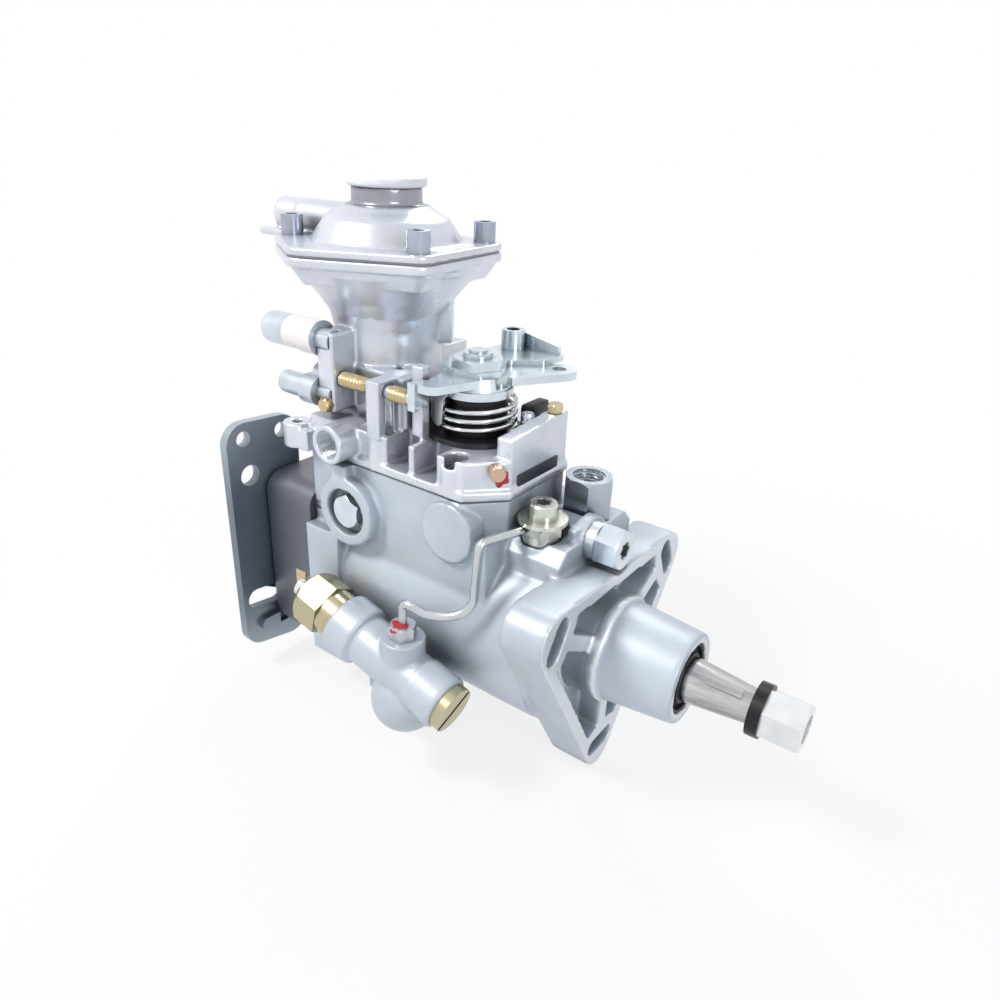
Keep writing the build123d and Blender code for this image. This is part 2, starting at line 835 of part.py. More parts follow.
# Distributor head and delivery valves
def distributor_head():
    """Steel head with the plunger bore, four delivery bores and the solenoid bore."""
    head = block(head_back, head_front, -head_half_y, head_half_y, -head_half_z, head_half_z)
    head = fillet(head.edges().filter_by(Axis.X), head_corner_r)
    head = fillet(head.edges().group_by(Axis.X)[0], 2.0)
    head += bar((head_front, 0, 0), X, head_nose_r, head_nose_length)
    head -= bar((head_back - 1, 0, 0), X, plunger_r + running, head_length + head_nose_length + 2)
    head -= bar((head_back - 1, 0, 0), X, centre_plug_r, centre_plug_depth + 1)
    for number in range(valve_count):
        start = around(head_back - 1, valve_pitch_r, 45 + 360 / valve_count * number)
        head -= bar(start, X, valve_spigot_r, valve_spigot_length + 1)
        head -= bar(start, X, 2.0, valve_spigot_length + 8)
    floor = head_half_z - solenoid_depth
    head -= bar((solenoid_x, solenoid_y, floor), UP, solenoid_thread_r, solenoid_depth + 1)
    head -= bar((solenoid_x, solenoid_y, floor - 4), UP, solenoid_plunger_r + 0.6, 6)
    for angle in head_screw_angles():
        start = around(head_back - 1, head_screw_pitch(), angle)
        head -= bar(start, X, screw_r, head_length + 2)
        head -= bar(start, X, screw_head_r + side_play, screw_head_height + 1)
    for place in bracket_bolt_places():
        head -= bar(place, X, pivot_bolt_r, 16)
    return head


def delivery_valve_x():
    """Front end of the closed delivery valves."""
    return head_back + valve_spigot_length - 1.0


def head_fittings():
    """Four delivery valve holders and the centre plug."""
    pieces = []
    for number in range(valve_count):
        y_z = around(0, valve_pitch_r, 45 + 360 / valve_count * number)[1:]
        front = head_back + valve_spigot_length
        holder = bar((front, *y_z), REAR, valve_spigot_r, valve_spigot_length)
        holder += nut_shape((head_back, *y_z), REAR, valve_flats, valve_hex_length)
        neck_x = head_back - valve_hex_length
        holder += bar((neck_x, *y_z), REAR, valve_thread_r, valve_thread_length)
        depth = delivery_valve_length + valve_lift + 3.0
        holder -= bar((front + 1, *y_z), REAR, valve_bore_r, depth + 1)
        holder -= bar((front, *y_z), REAR, 1.3, 100)
        holder -= cone((neck_x - valve_thread_length + 4, *y_z), REAR, 1.3, 4.3, 4.1)
        pieces.append(holder)
    plug = bar((head_back + centre_plug_depth, 0, 0), REAR, centre_plug_r, centre_plug_depth)
    plug += nut_shape((head_back, 0, 0), REAR, nut_flats, 6)
    pieces.append(plug)
    return together(pieces)


def delivery_valve(number):
    """Valve cone with its guide flutes, free to lift off its seat."""
    y_z = around(0, valve_pitch_r, 45 + 360 / valve_count * number)[1:]
    front = delivery_valve_x()
    valve = bar((front, *y_z), REAR, delivery_valve_r, delivery_valve_length)
    return valve - ring((front - 4, *y_z), REAR, delivery_valve_r + 1, delivery_valve_r - 1.2, 4)


def bracket_bolt_places():
    """Start of each bracket bolt's hole in the rear face of the head."""
    return (
        (head_back - 1, -head_half_y + 6.0, 20.0),
        (head_back - 1, -head_half_y + 6.0, -20.0),
    )


def shutoff_solenoid():
    """Fuel shut-off solenoid: threaded foot, hexagon, can and terminal stud."""
    foot_z = head_half_z - solenoid_depth
    base = (solenoid_x, solenoid_y, foot_z)
    body = bar(base, UP, solenoid_thread_r, solenoid_depth)
    body += nut_shape((solenoid_x, solenoid_y, head_half_z), UP, solenoid_flats, solenoid_hex)
    can_z = head_half_z + solenoid_hex
    can = bar((solenoid_x, solenoid_y, can_z), UP, solenoid_r, solenoid_can)
    body += fillet(can.edges().group_by(Axis.Z)[-1], 2.0)
    body += bar((solenoid_x, solenoid_y, can_z + solenoid_can), UP, 5.0, 3)
    body += bar((solenoid_x, solenoid_y, can_z + solenoid_can), UP, 2.0, 10)
    return body - bar((solenoid_x, solenoid_y, foot_z - 1), UP, solenoid_plunger_r + running, 24)


def shutoff_plunger():
    """Plunger that the solenoid lifts to let fuel in."""
    foot_z = head_half_z - solenoid_depth
    return bar((solenoid_x, solenoid_y, foot_z - 3.7), UP, solenoid_plunger_r, 18)


# Injection advance
def timing_piston():
    """Piston across the pump, with the slot that takes the ring pin."""
    piston = bar((timing_x, -timing_piston_half, timing_z), FAR, timing_piston_r, 2 * timing_piston_half)
    top = timing_z + timing_piston_r + 1
    slot = block(timing_x - ring_pin_r - 0.2, timing_x + ring_pin_r + 0.2, -4.8, 4.8, timing_z - 3, top)
    return piston - slot - bar((timing_x, timing_piston_half - 8, timing_z), FAR, 8.0, 9)


def timing_spring():
    """Spring that returns the piston; it rides in the piston's end."""
    start_y = timing_piston_half - 8
    length = timing_half - start_y - timing_travel - stop_gap
    return coil((timing_x, start_y, timing_z), FAR, 6.0, 1.1, length, 6)


def timing_cover():
    """Square cover on the far end of the piston bore, with its four screws' heads."""
    half = timing_cover_half
    cover = block(
        timing_x - half,
        timing_x + half,
        timing_half,
        timing_half + timing_cover_thick,
        timing_z - half + 3,
        timing_z + half,
    )
    cover = fillet(cover.edges().filter_by(Axis.Y), 5.0)
    for side_x in (-1, 1):
        for side_z in (-1, 1):
            z = timing_z + 1.5 + side_z * (half - 5)
            start = (timing_x + side_x * (half - 4.5), timing_half + timing_cover_thick, z)
            cover += bar(start, FAR, 4.0, 4)
    return cover


# Governor
def governor_shaft():
    """Fixed shaft that carries the weights, with its lock nut on the front of the deck."""
    nut_back = deck_front
    shaft = bar((sleeve_end + 2.5, governor_y, governor_z), X, governor_shaft_r, nut_back + 3.5 - sleeve_end)
    start = (nut_back, governor_y, governor_z)
    nut = bar(start, X, 9.5, 4.5)
    nut += nut_shape((nut_back + 4.5, governor_y, governor_z), X, 17.0, 11)
    nut -= bar(start, X, governor_shaft_r, 6)
    nut -= bar((nut_back + 11.0, governor_y, governor_z), X, 4.2, 10)
    return together([shaft, nut])


def weight_pivot_x():
    """Place along the shaft of the flyweight pivots."""
    return gear_back - carrier_thick - weight_pivot_drop


def flyweight_carrier():
    """Pinion and back plate with the ears that hold the flyweights."""
    turn = gear_line + 180.0
    pinion = across(gear_back, governor_y, governor_z) * gear(
        pinion_teeth, gear_width, governor_shaft_r + running, turn
    )
    back = gear_back - carrier_thick
    plate = ring((back, governor_y, governor_z), X, carrier_r, governor_shaft_r + running, carrier_thick)
    carrier = pinion + plate
    pivot_x = weight_pivot_x()
    for number in range(weight_count):
        for side in (-1, 1):
            inner = side * (weight_half_width + side_play)
            outer = side * (weight_half_width + side_play + ear_thick)
            reach = weight_pivot_r + 3.5
            ear = block(pivot_x - 3.5, back + 0.5, inner, outer, weight_pivot_r - 3.5, reach)
            hole = bar((pivot_x, inner - side, weight_pivot_r), (0, side, 0), weight_pin_r + running, 6)
            place = Pos(0, governor_y, governor_z) * Rot(360 / weight_count * number, 0, 0)
            carrier += place * (ear - hole)
    return carrier


def flyweight(number):
    """L-shaped weight with its hinge pin and the toe that pushes the sleeve."""
    pivot_x = weight_pivot_x()
    half = weight_half_width
    eye = bar((pivot_x, -half, weight_pivot_r), FAR, 2.9, 2 * half)
    mass = block(pivot_x - 3 - weight_length, pivot_x - 1, -half, half, weight_inner_r, weight_outer_r)
    toe_r = weight_pivot_r - weight_toe_reach
    toe = bar((pivot_x, -2.5, toe_r), FAR, weight_toe_r, 5)
    arm = block(pivot_x - weight_toe_r, pivot_x + weight_toe_r - 0.4, -2.5, 2.5, toe_r, weight_pivot_r)
    pin_half = half + side_play + ear_thick
    pin = bar((pivot_x, -pin_half, weight_pivot_r), FAR, weight_pin_r, 2 * pin_half)
    weight = eye + mass + toe + arm + pin
    return Pos(0, governor_y, governor_z) * Rot(360 / weight_count * number, 0, 0) * weight


def governor_sleeve():
    """Sleeve that the flyweight toes push along the governor shaft."""
    front = weight_pivot_x() - weight_toe_r - running * 2
    flange = (front - sleeve_flange_thick, governor_y, governor_z)
    sleeve = bar(flange, X, sleeve_flange_r, sleeve_flange_thick)
    sleeve += bar((sleeve_end, governor_y, governor_z), X, sleeve_r, front - sleeve_end - 1)
    return sleeve - bar((sleeve_end + 1.5, governor_y, governor_z), X, governor_shaft_r + running, 100)


def corrector_lever():
    """Frame on the two pivot bolts that carries the pivot of the governor lever."""
    half = corrector_half_y
    frame = Part()
    for side in (-1, 1):
        cheek = block(
            collar_x - 11,
            collar_x + 8,
            side * (half - corrector_plate),
            side * half,
            lever_pivot_z - 6,
            pivot_bolt_z + 8,
        )
        frame += fillet(cheek.edges().filter_by(Axis.Y), 4.0)
    frame += block(collar_x - 11, collar_x - 8.5, -half, half, pivot_bolt_z - 12, pivot_bolt_z + 4)
    frame += bar((collar_x, -half, lever_pivot_z), FAR, 2.0, 2 * half)
    for side in (-1, 1):
        hole = (collar_x, side * (half + 1), pivot_bolt_z)
        frame -= bar(hole, (0, -side, 0), pivot_bolt_r, corrector_plate + 2)
    return frame


def governor_lever():
    """Lever between the sleeve, the governor spring and the spill collar."""
    half = lever_half_width
    plate = block(
        collar_x - lever_thick / 2,
        collar_x + lever_thick / 2,
        governor_y - half,
        governor_y + half,
        lever_pivot_z - 6,
        lever_top_z,
    )
    plate = fillet(plate.edges().filter_by(Axis.X), 3.0)
    plate += bar((collar_x, governor_y - half, lever_pivot_z), FAR, 4.0, 2 * half)
    plate += bar((collar_x, 0, lever_ball_z), UP, 1.8, lever_pivot_z - lever_ball_z - 5)
    plate += Pos(collar_x, 0, lever_ball_z) * Sphere(lever_ball_r)
    push_x = sleeve_end - running * 4 - push_ball_r
    plate += bar((collar_x, governor_y, governor_z), X, push_ball_r, push_x - collar_x)
    plate += Pos(push_x, governor_y, governor_z) * Sphere(push_ball_r)
    return plate - bar((collar_x, -50, lever_pivot_z), FAR, 2.0 + running, 100)


def governor_spring():
    """Spring between the governor lever and the pin of the control shaft."""
    start = (collar_x + lever_thick / 2, governor_y, lever_top_z - 5.5)
    pin_x = control_x - control_pin_back - control_pin_r
    return coil(start, X, 4.0, 0.9, pin_x - governor_spring_gap - start[0], 8)


def control_shaft():
    """Shaft through the cover with the disc and pin that hold the governor spring."""
    disc_z = cover_inner_z - 6.5
    shaft = bar((control_x, control_y, disc_z), UP, control_shaft_r, lever_plate_z - disc_z)
    stub = lever_hub_thick + lever_top_thick + lever_seat_thick + lever_collar_height + 1
    shaft += bar((control_x, control_y, lever_plate_z), UP, control_thread_r, stub)
    shaft += bar((control_x, control_y, disc_z), UP, 13.0, 3.0)
    shaft += bar((control_x - control_pin_back, control_y, disc_z + 1), DOWN, control_pin_r, 12.0)
    return shaft


# Governor cover with the lower half of the boost chamber
def cover_outline():
    """Footprint of the cover, with its near front corner cut away."""
    return make_face(
        Polyline(
            (body_back, -cover_side_y),
            (cover_corner_x, -cover_side_y),
            (cover_front, -cover_corner_y),
            (cover_front, cover_far_corner_y),
            (cover_corner_x, top_half_y),
            (body_back, top_half_y),
            close=True,
        )
    )


def rim_outline():
    """Five-cornered rim that the two halves of the boost chamber share."""
    corners = Sketch()
    for angle in rim_corner_angles:
        corners += Rot(0, 0, angle) * (Pos(rim_corner_pitch_r, 0) * Circle(rim_corner_r))
    return Pos(tower_x, 0) * make_hull(corners.edges())


def governor_cover():
    """Casting over the governor: roof, front wall, tower, bowl, lugs and bosses."""
    cover = Pos(0, 0, cover_base) * extrude(cover_outline(), amount=cover_z - cover_base)
    flange_plate = offset(cover_outline(), amount=1.5)
    cover += Pos(0, 0, cover_base) * extrude(flange_plate, amount=4.0)
    rise = make_face(
        Polyline(
            (-cover_corner_y, cover_z - 1),
            (cover_far_corner_y, cover_z - 1),
            (cover_far_corner_y, cover_z + front_rise),
            (-cover_corner_y, cover_z + front_rise - 3),
            close=True,
        )
    )
    cover += across(cover_front - front_top) * extrude(rise, amount=front_top)
    cover += block(body_back, cover_front - 55, -26, top_half_y - 4, cover_z - 1, rear_raise_z)
    cover += block(body_back, tower_x + 18, 2, top_half_y - 1, cover_z - 1, rear_raise_z + 12)
    profile = Plane.XZ * make_face(
        Polyline(
            (0, cover_base + 5),
            (tower_r, cover_base + 5),
            (tower_r, rim_z - 34),
            (tower_r + 1.5, rim_z - 27),
            (tower_r + 6, rim_z - 20),
            (bowl_r + 2, rim_z - 13),
            (bowl_r + 7, rim_z - 7),
            (bowl_r + 7, rim_z),
            (0, rim_z),
            close=True,
        )
    )
    cover += Pos(tower_x, 0, 0) * revolve(profile, Axis.Z)
    cover += Pos(0, 0, rim_z - rim_thick) * extrude(rim_outline(), amount=rim_thick)
    under = rim_z - rim_thick
    flare_top = Pos(0, 0, under) * offset(rim_outline(), amount=-1.5)
    flare_foot = Pos(0, 0, under - 8) * offset(rim_outline(), amount=-7.0)
    cover += loft([flare_top, flare_foot])
    rib = block(tower_r - 6, tower_r + 4.5, -10, 6, 117, 135)
    cover += Pos(tower_x, 0, 0) * Rot(0, 0, 36) * rib
    lug_top = capped_z + 4.5
    cover += block(lug_rear_x - lug_rear_thick, lug_rear_x, idle_y - 6, -8, lower_z - 8, lug_top)
    cover += block(lug_front_x - lug_front_thick, lug_front_x, idle_y - 6, -8, cover_z - 1, idle_z + 5)
    cover += block(lug_rear_x - 1, lug_front_x - 1, -27, -18, cover_z - 1, idle_z + 5)
    cover += block(lug_front_x - 8, -100.5, -27, -10, cover_z - 1, idle_z + 4)
    cover += block(-93, -87, -30, -24.7, cover_z - 1, idle_z + 13)
    cover += bar((control_x, control_y, cover_inner_z - 3), UP, base_r + 1.5, cover_z - cover_inner_z + 3)
    for x, y, z in cover_screw_places():
        cover += bar((x, y, cover_base), UP, 7.0, z - cover_base)
    cover += bar((port_x, -cover_side_y + 8, port_z), NEAR, port_r, -port_end_y - cover_side_y + 8)
    lug = bar((body_back - 8, -cover_side_y - 1, cover_base), UP, 7.0, 12)
    near = -cover_side_y
    lug += block(body_back - 8, body_back + 4, near - 6, near + 8, cover_base, cover_base + 10)
    cover += lug
    for cut in cover_cuts():
        cover -= cut
    return cover


def cover_cuts():
    """Hollows and holes of the cover."""
    cuts = []
    half_y = chamber_half_y
    hollow = block(cover_corner_x - 4, body_back + 8, -half_y, half_y, gasket_z, cover_inner_z)
    narrow = cover_corner_y - top_wall
    far_narrow = cover_far_corner_y - top_wall
    hollow += block(cover_corner_x - 5, chamber_front, -narrow, far_narrow, gasket_z, cover_inner_z)
    pocket_back = cover_corner_x - 43
    pocket_front = cover_corner_x - 14
    hollow -= block(pocket_back - 3, pocket_front + 3, -half_y - 1, -19, gasket_z, cover_inner_z + 1)
    for x, y, z in cover_screw_places():
        hollow -= bar((x, y, cover_base), UP, 6.0, z - cover_base)
    cuts.append(hollow)
    middle = (pocket_back + pocket_front) / 2
    for x0, x1 in ((pocket_back, middle - 1.5), (middle + 1.5, pocket_front)):
        cuts.append(block(x0, x1, -cover_side_y - 2, -22, cover_base + 4, cover_z + 1))
    bowl = bar((tower_x, 0, rim_z - bowl_depth), UP, bowl_r, bowl_depth + 1)
    bowl += cone((tower_x, 0, rim_z - bowl_depth - 12), UP, 12, bowl_r, 12.01)
    cuts.append(bowl)
    cuts.append(bar((tower_x, 0, cover_inner_z - 1), UP, boost_pin_r + running, rim_z))
    cuts.append(bar((control_x, control_y, cover_inner_z - 4), UP, control_shaft_r + running, 20))
    for x, y, z in cover_screw_places():
        cuts.append(bar((x, y, z - screw_head_height + 2), UP, screw_head_r + side_play, 30))
        cuts.append(bar((x, y, cover_base - 1), UP, screw_r, 40))
    cuts.append(bar((port_x, port_end_y - 1, port_z), FAR, port_bore_r, 14))
    cuts.append(bar((port_x, port_end_y - 1, port_z), FAR, 3.0, 30))
    cuts.append(bar((idle_tip_x, idle_y, idle_z), REAR, idle_r, 90))
    cuts.append(bar((lug_rear_x - lug_rear_thick - 1, capped_y, capped_z), X, 5.0, 9))
    cuts.append(bar((lug_rear_x - lug_rear_thick - 1, lower_y + 2, lower_z), X, 3.5, 9))
    cuts.append(bar((body_back - 8, -cover_side_y - 1, cover_base - 1), UP, 2.6, 30))
    for angle in rim_corner_angles[:4]:
        x, y = boost_screw_place(angle)
        cuts.append(bar((x, y, rim_z - rim_thick - 1), UP, screw_r, 20))
    return cuts


def boost_screw_place(angle):
    """Plan place of a screw of the boost chamber."""
    turn = math.radians(angle)
    return (tower_x + rim_corner_pitch_r * math.cos(turn), rim_corner_pitch_r * math.sin(turn))


def cover_gasket():
    """Flat gasket between housing and cover."""
    sheet = extrude(cover_outline(), amount=gasket_thick)
    half_y = chamber_half_y - 0.5
    narrow = cover_corner_y - top_wall
    sheet -= block(cover_corner_x - 4.5, body_back + 8.5, -half_y, half_y, -1, 3)
    sheet -= block(cover_corner_x - 6, chamber_front - 0.5, -narrow, governor_side, -1, 3)
    for x, y, z in cover_screw_places():
        sheet += Pos(x, y, 0) * Cylinder(6.0, gasket_thick, align=LOW)
        sheet -= Pos(x, y, -1) * Cylinder(screw_r, 4, align=LOW)
    inside = Pos(0, 0, 0) * extrude(cover_outline(), amount=gasket_thick)
    return Pos(0, 0, gasket_z) * (sheet & inside)


# Boost chamber
def boost_cover():
    """Cast dome with its rim, neck, hose port and bleed nipple."""
    top_z = dome_z + dome_height
    outer = Polyline(
        (0, boost_base),
        (dome_base_r, boost_base),
        (dome_base_r, dome_z),
        (dome_base_r - 3, dome_z + 4.5),
        (dome_base_r - 6.5, dome_z + 9.5),
        (dome_shoulder_r, top_z - 2.5),
        (dome_shoulder_r - 3.5, top_z),
        (neck_r, top_z),
        (neck_r, neck_top_z),
        (0, neck_top_z),
        close=True,
    )
    wall = boost_wall
    inner = Polyline(
        (0, boost_base - 1),
        (dome_base_r - wall, boost_base - 1),
        (dome_base_r - wall, dome_z + 1),
        (dome_shoulder_r, top_z - wall - 2.5),
        (neck_r - wall, top_z - wall - 1.5),
        (neck_r - wall, neck_top_z + 1),
        (0, neck_top_z + 1),
        close=True,
    )
    dome = revolve(Plane.XZ * make_face(outer), Axis.Z)
    rim = Pos(-tower_x, 0) * rim_outline()
    dome += Pos(0, 0, boost_base) * extrude(rim, amount=boost_rim_thick)
    port_start = (-20, -3, dome_z + 5.5)
    port_way = (-36, -5, 1.0)
    dome += bar(port_start, port_way, hose_base_r, hose_base_length)
    dome += bar(port_start, port_way, hose_port_r, hose_base_length + hose_port_length)
    nipple_start = (-rim_corner_pitch_r + 8, -16.5, boost_base + 1.9)
    dome += bar(nipple_start, REAR, 1.9, 32)
    dome -= revolve(Plane.XZ * make_face(inner), Axis.Z)
    dome -= bar(port_start, port_way, hose_bore_r, hose_base_length + hose_port_length + 1)
    dome -= bar((nipple_start[0] - 20, nipple_start[1], nipple_start[2]), REAR, 1.0, 30)
    for angle in rim_corner_angles[:4]:
        x, y = boost_screw_place(angle)
        dome -= bar((x - tower_x, y, boost_base - 1), UP, screw_r, 30)
    return Pos(tower_x, 0, 0) * dome


def boost_cap():
    """White plastic cap pressed into the neck."""
    top = bar((tower_x, 0, neck_top_z), UP, cap_r, cap_thick)
    top = fillet(top.edges(), cap_thick * 0.4)
    return top + bar((tower_x, 0, neck_top_z - 6), UP, neck_r - boost_wall, 7)


def boost_diaphragm():
    """Rubber diaphragm clamped between the two rims, open where the plates move."""
    sheet = Pos(0, 0, rim_z) * extrude(offset(rim_outline(), amount=-1.0), amount=diaphragm_thick)
    sheet -= bar((tower_x, 0, rim_z - 1), UP, bowl_r - 11.5, 4)
    for angle in rim_corner_angles[:4]:
        x, y = boost_screw_place(angle)
        sheet -= bar((x, y, rim_z - 1), UP, screw_r, 4)
    return sheet


def boost_pin():
    """Sensing pin with the two plates that back the diaphragm, and its adjusting sleeve."""
    plate_r = bowl_r - 12.0
    pin = bar((tower_x, 0, rim_z + boost_pin_top - boost_pin_length), UP, boost_pin_r, boost_pin_length)
    pin += bar((tower_x, 0, rim_z + diaphragm_thick - 2.5), UP, plate_r, 2.5)
    return pin - ring((tower_x, 0, rim_z - 46), UP, boost_pin_r + 1, boost_pin_r - 1.2, 8)


# Screws
def socket_screws():
    """Socket head screws of the governor cover, the boost chamber and the head."""
    screws = []
    for x, y, z in cover_screw_places():
        seat = z - screw_head_height + 2
        screws.append(socket_screw((x, y, seat), UP, seat - gasket_z + 12, screw_head_height - 4))
    for angle in rim_corner_angles[:4]:
        x, y = boost_screw_place(angle)
        grip = rim_thick + diaphragm_thick + boost_rim_thick
        screws.append(socket_screw((x, y, dome_z), UP, grip, screw_head_height + 1))
    for angle in head_screw_angles():
        seat = around(head_back + screw_head_height, head_screw_pitch(), angle)
        screws.append(socket_screw(seat, REAR, head_length - screw_head_height + 12, screw_head_height))
    return together(screws)


def socket_screw(seat, toward, grip, head):
    """One screw: its head stands on the seat and its shank goes the other way."""
    back = (-toward[0], -toward[1], -toward[2])
    screw = bar(seat, toward, screw_head_r, head)
    screw += bar(seat, back, screw_r, grip)
    tip = (seat[0] + toward[0] * head, seat[1] + toward[1] * head, seat[2] + toward[2] * head)
    return screw - hexagon(tip, back, 5.0, head * 0.5)


def hex_bolts():
    """Hexagon bolts: the two governor pivots and the two of the rear bracket."""
    bolts = []
    for side in (-1, 1):
        inward = (0, -side, 0)
        head_y = side * (rear_block_half - bolt_head - 0.5)
        shank = abs(head_y) - corrector_half_y + corrector_plate
        bolts.append(hex_bolt((collar_x, head_y, pivot_bolt_z), inward, shank))
    for x, y, z in bracket_bolt_places():
        bolts.append(hex_bolt((head_back - bracket_thick, y, z), X, bracket_thick + 14))
    return together(bolts)


def hex_bolt(seat, inward, shank):
    """One hexagon bolt: its head stands away from the seat."""
    away = (-inward[0], -inward[1], -inward[2])
    return nut_shape(seat, away, bolt_flats, bolt_head) + bar(seat, inward, pivot_bolt_r, shank)


# Control lever
def spring_base():
    """Black plastic seat of the lever return spring, with its inner hub."""
    base = bar((control_x, control_y, cover_z), UP, base_r, base_thick)
    post = base_thick + return_spring_height - 1
    base += bar((control_x, control_y, cover_z), UP, return_spring_r - 3.5, post)
    return base - bar((control_x, control_y, cover_z - 1), UP, control_shaft_r + running, 40)


def lever_return_spring():
    """Torsion spring around the control shaft."""
    start = (control_x, control_y, cover_z + base_thick)
    return coil(start, UP, return_spring_r, return_spring_wire_r, return_spring_height, 3.6)


def control_lever():
    """Lever: spring cup, hub, throttle arm, clamp boss and idle tab, with the pressed plate on it."""
    hub = (control_x, control_y)
    clamp = (control_x - 7, control_y + 36)
    tip = (control_x + 24, control_y + 29)
    lever = bar((control_x, control_y, lever_seat_z), UP, cup_r, cup_thick)
    lever += cone((control_x, control_y, lever_plate_z), UP, cup_r - 1, cup_r - 2.5, lever_hub_thick)
    z0 = lever_top - lever_arm_thick
    z1 = lever_top
    tab_x = idle_tip_x + running * 2
    lever += strap(hub, 13.5, tip, 8.0, z0, z1)
    lever += strap(hub, 13.5, clamp, 9.0, z0, z1)
    lever += strap(hub, 12.0, (tab_x + 9, idle_y + 2), 5.0, z0, z1)
    lever += block(tab_x, tab_x + 4, idle_y - 4, idle_y + 4, idle_z - 4, z1)
    lever += block(tab_x, tab_x + 9, idle_y - 3, idle_y + 4, z0, z1)
    lever -= bar((control_x, control_y, lever_seat_z - 1), UP, control_shaft_r, cup_thick + 1)
    lever -= bar((control_x, control_y, lever_plate_z - 1), UP, control_thread_r, 20)
    lever -= bar((*tip, z0 - 1), UP, 3.2, 20)
    lever -= bar((*clamp, z0 - 1), UP, clamp_r, 20)
    lever -= bar((control_x + 15.5, control_y - 1.5, z0 - 1), UP, 4.0, 20)
    return together([lever, lever_top_plate()])


def lever_top_plate():
    """Pressed plate on the lever, held by the clamp screw, with a tab bent up at its far edge."""
    outline = make_face(
        Polyline(
            (-20, 4),
            (-14, -8),
            (-5, -11.5),
            (8, -9),
            (13, 1),
            (4, 17),
            (17, 28),
            (18, 44),
            (-14, 44),
            close=True,
        )
    )
    outline = fillet(outline.vertices(), 2.5)
    plate = Pos(control_x, control_y, lever_top) * extrude(outline, amount=lever_top_thick)
    tab = Plane.XZ.offset(-control_y - 44) * make_face(
        Polyline(
            (control_x - 6, lever_top + 1),
            (control_x + 15, lever_top + 1),
            (control_x + 15, lever_top + 6),
            (control_x - 6, lever_top + 10),
            close=True,
        )
    )
    plate += extrude(tab, amount=lever_top_thick)
    plate -= bar((control_x, control_y, lever_top - 1), UP, control_thread_r, 20)
    return plate - bar((control_x - 7, control_y + 36, lever_top - 1), UP, clamp_r, 20)


def lever_fasteners():
    """Hexagon nut with its collar on the control shaft, and the clamp screw of the lever plates."""
    start = (control_x, control_y, lever_seat_base)
    nut = nut_shape(start, UP, lever_seat_flats, lever_seat_thick)
    nut += bar(start, UP, lever_collar_r, lever_seat_thick + lever_collar_height)
    nut -= bar(start, UP, control_thread_r, 20)
    place = (control_x - 7, control_y + 36)
    clamp = bar((*place, lever_seat_base), UP, clamp_head_r, clamp_head_height)
    clamp += bar((*place, lever_seat_base), DOWN, clamp_r, lever_arm_thick + lever_top_thick)
    clamp -= hexagon((*place, lever_seat_base + clamp_head_height), DOWN, 6.0, 5)
    return together([nut, clamp])


def adjusting_screws():
    """Idle screw through the two lugs, and the two sealed limit screws behind them."""
    rear_face = lug_rear_x - lug_rear_thick
    idle = bar((rear_face - 7, idle_y, idle_z), X, idle_r, idle_tip_x - rear_face + 7)
    idle += nut_shape((rear_face, idle_y, idle_z), REAR, 10.0, 5)
    upper = bar((rear_face, capped_y, capped_z), X, 5.0, 8)
    upper += bar((rear_face, capped_y, capped_z), REAR, capped_r, 10)
    cap = bar((rear_face - 10, capped_y, capped_z), REAR, capped_r - 0.5, capped_length - 10)
    upper += fillet(cap.edges().group_by(Axis.X)[0], 4.0)
    lower = bar((rear_face, lower_y + 2, lower_z), X, 3.5, 8)
    lower += bar((rear_face, lower_y + 2, lower_z), REAR, lower_r + 1.5, 9)
    tip = bar((rear_face - 9, lower_y + 2, lower_z), REAR, lower_r, lower_length - 9)
    lower += fillet(tip.edges().group_by(Axis.X)[0], 3.0)
    return together([idle, upper, lower])


# Fittings
def pressure_valve():
    """Pressure regulating valve with the ring of the pipe joint clamped on it."""
    start = (valve_x, valve_y, deck_z - 16)
    valve = bar(start, UP, 7.0, 12)
    valve += bar((valve_x, valve_y, deck_z - 4), UP, 8.7, 6)
    valve += nut_shape((valve_x, valve_y, deck_z + 2), UP, 17.0, 5)
    valve += bar((valve_x, valve_y, deck_z + 7), UP, 11.0, 1.8)
    top = bar((valve_x, valve_y, deck_z + 8.8), UP, 6.5, 7)
    valve += chamfer(top.edges().group_by(Axis.Z)[-1], 0.8)
    return valve - bar((valve_x, valve_y, deck_z + 12), UP, 3.6, 10)


def inlet_connector():
    """Hexagonal fuel inlet with an open threaded mouth."""
    body = bar((inlet_x, inlet_y, deck_z - inlet_spigot), UP, inlet_spigot_r, inlet_spigot)
    body += nut_shape((inlet_x, inlet_y, deck_z), UP, inlet_flats, inlet_height)
    body -= bar((inlet_x, inlet_y, deck_z - 2), UP, inlet_bore_r, 30)
    return body - bar((inlet_x, inlet_y, deck_z - 30), UP, 4.0, 60)


def pressure_pipe():
    """Thin steel pipe from the pressure valve to the side unit, with its union nut."""
    joint_z = deck_z + 4.5
    route = FilletPolyline(
        (valve_x - 4.0, valve_y - 9.8, joint_z),
        (valve_x - 9.5, valve_y - 32, joint_z + 1),
        (valve_x - 10.5, valve_y - 33.5, joint_z - 27),
        (valve_x - 16, valve_y - 37, joint_z - 33),
        (valve_x - 26, valve_y - 43.5, joint_z - 35),
        (unit_boss_x + 4.6, unit_y + 0.2, unit_boss_top + 18.5),
        (unit_boss_x, unit_y, unit_boss_top + 14),
        (unit_boss_x, unit_y, unit_boss_top + 1),
        radius=pipe_bend_r,
    )
    wire = Plane(origin=route @ 0, z_dir=route % 0) * Circle(pipe_r)
    pipe = sweep(wire, path=route, transition=Transition.ROUND)
    nut = nut_shape((unit_boss_x, unit_y, unit_boss_top), UP, union_flats, union_height)
    nut -= bar((unit_boss_x, unit_y, unit_boss_top - 1), UP, pipe_r, 20)
    return together([pipe, nut])


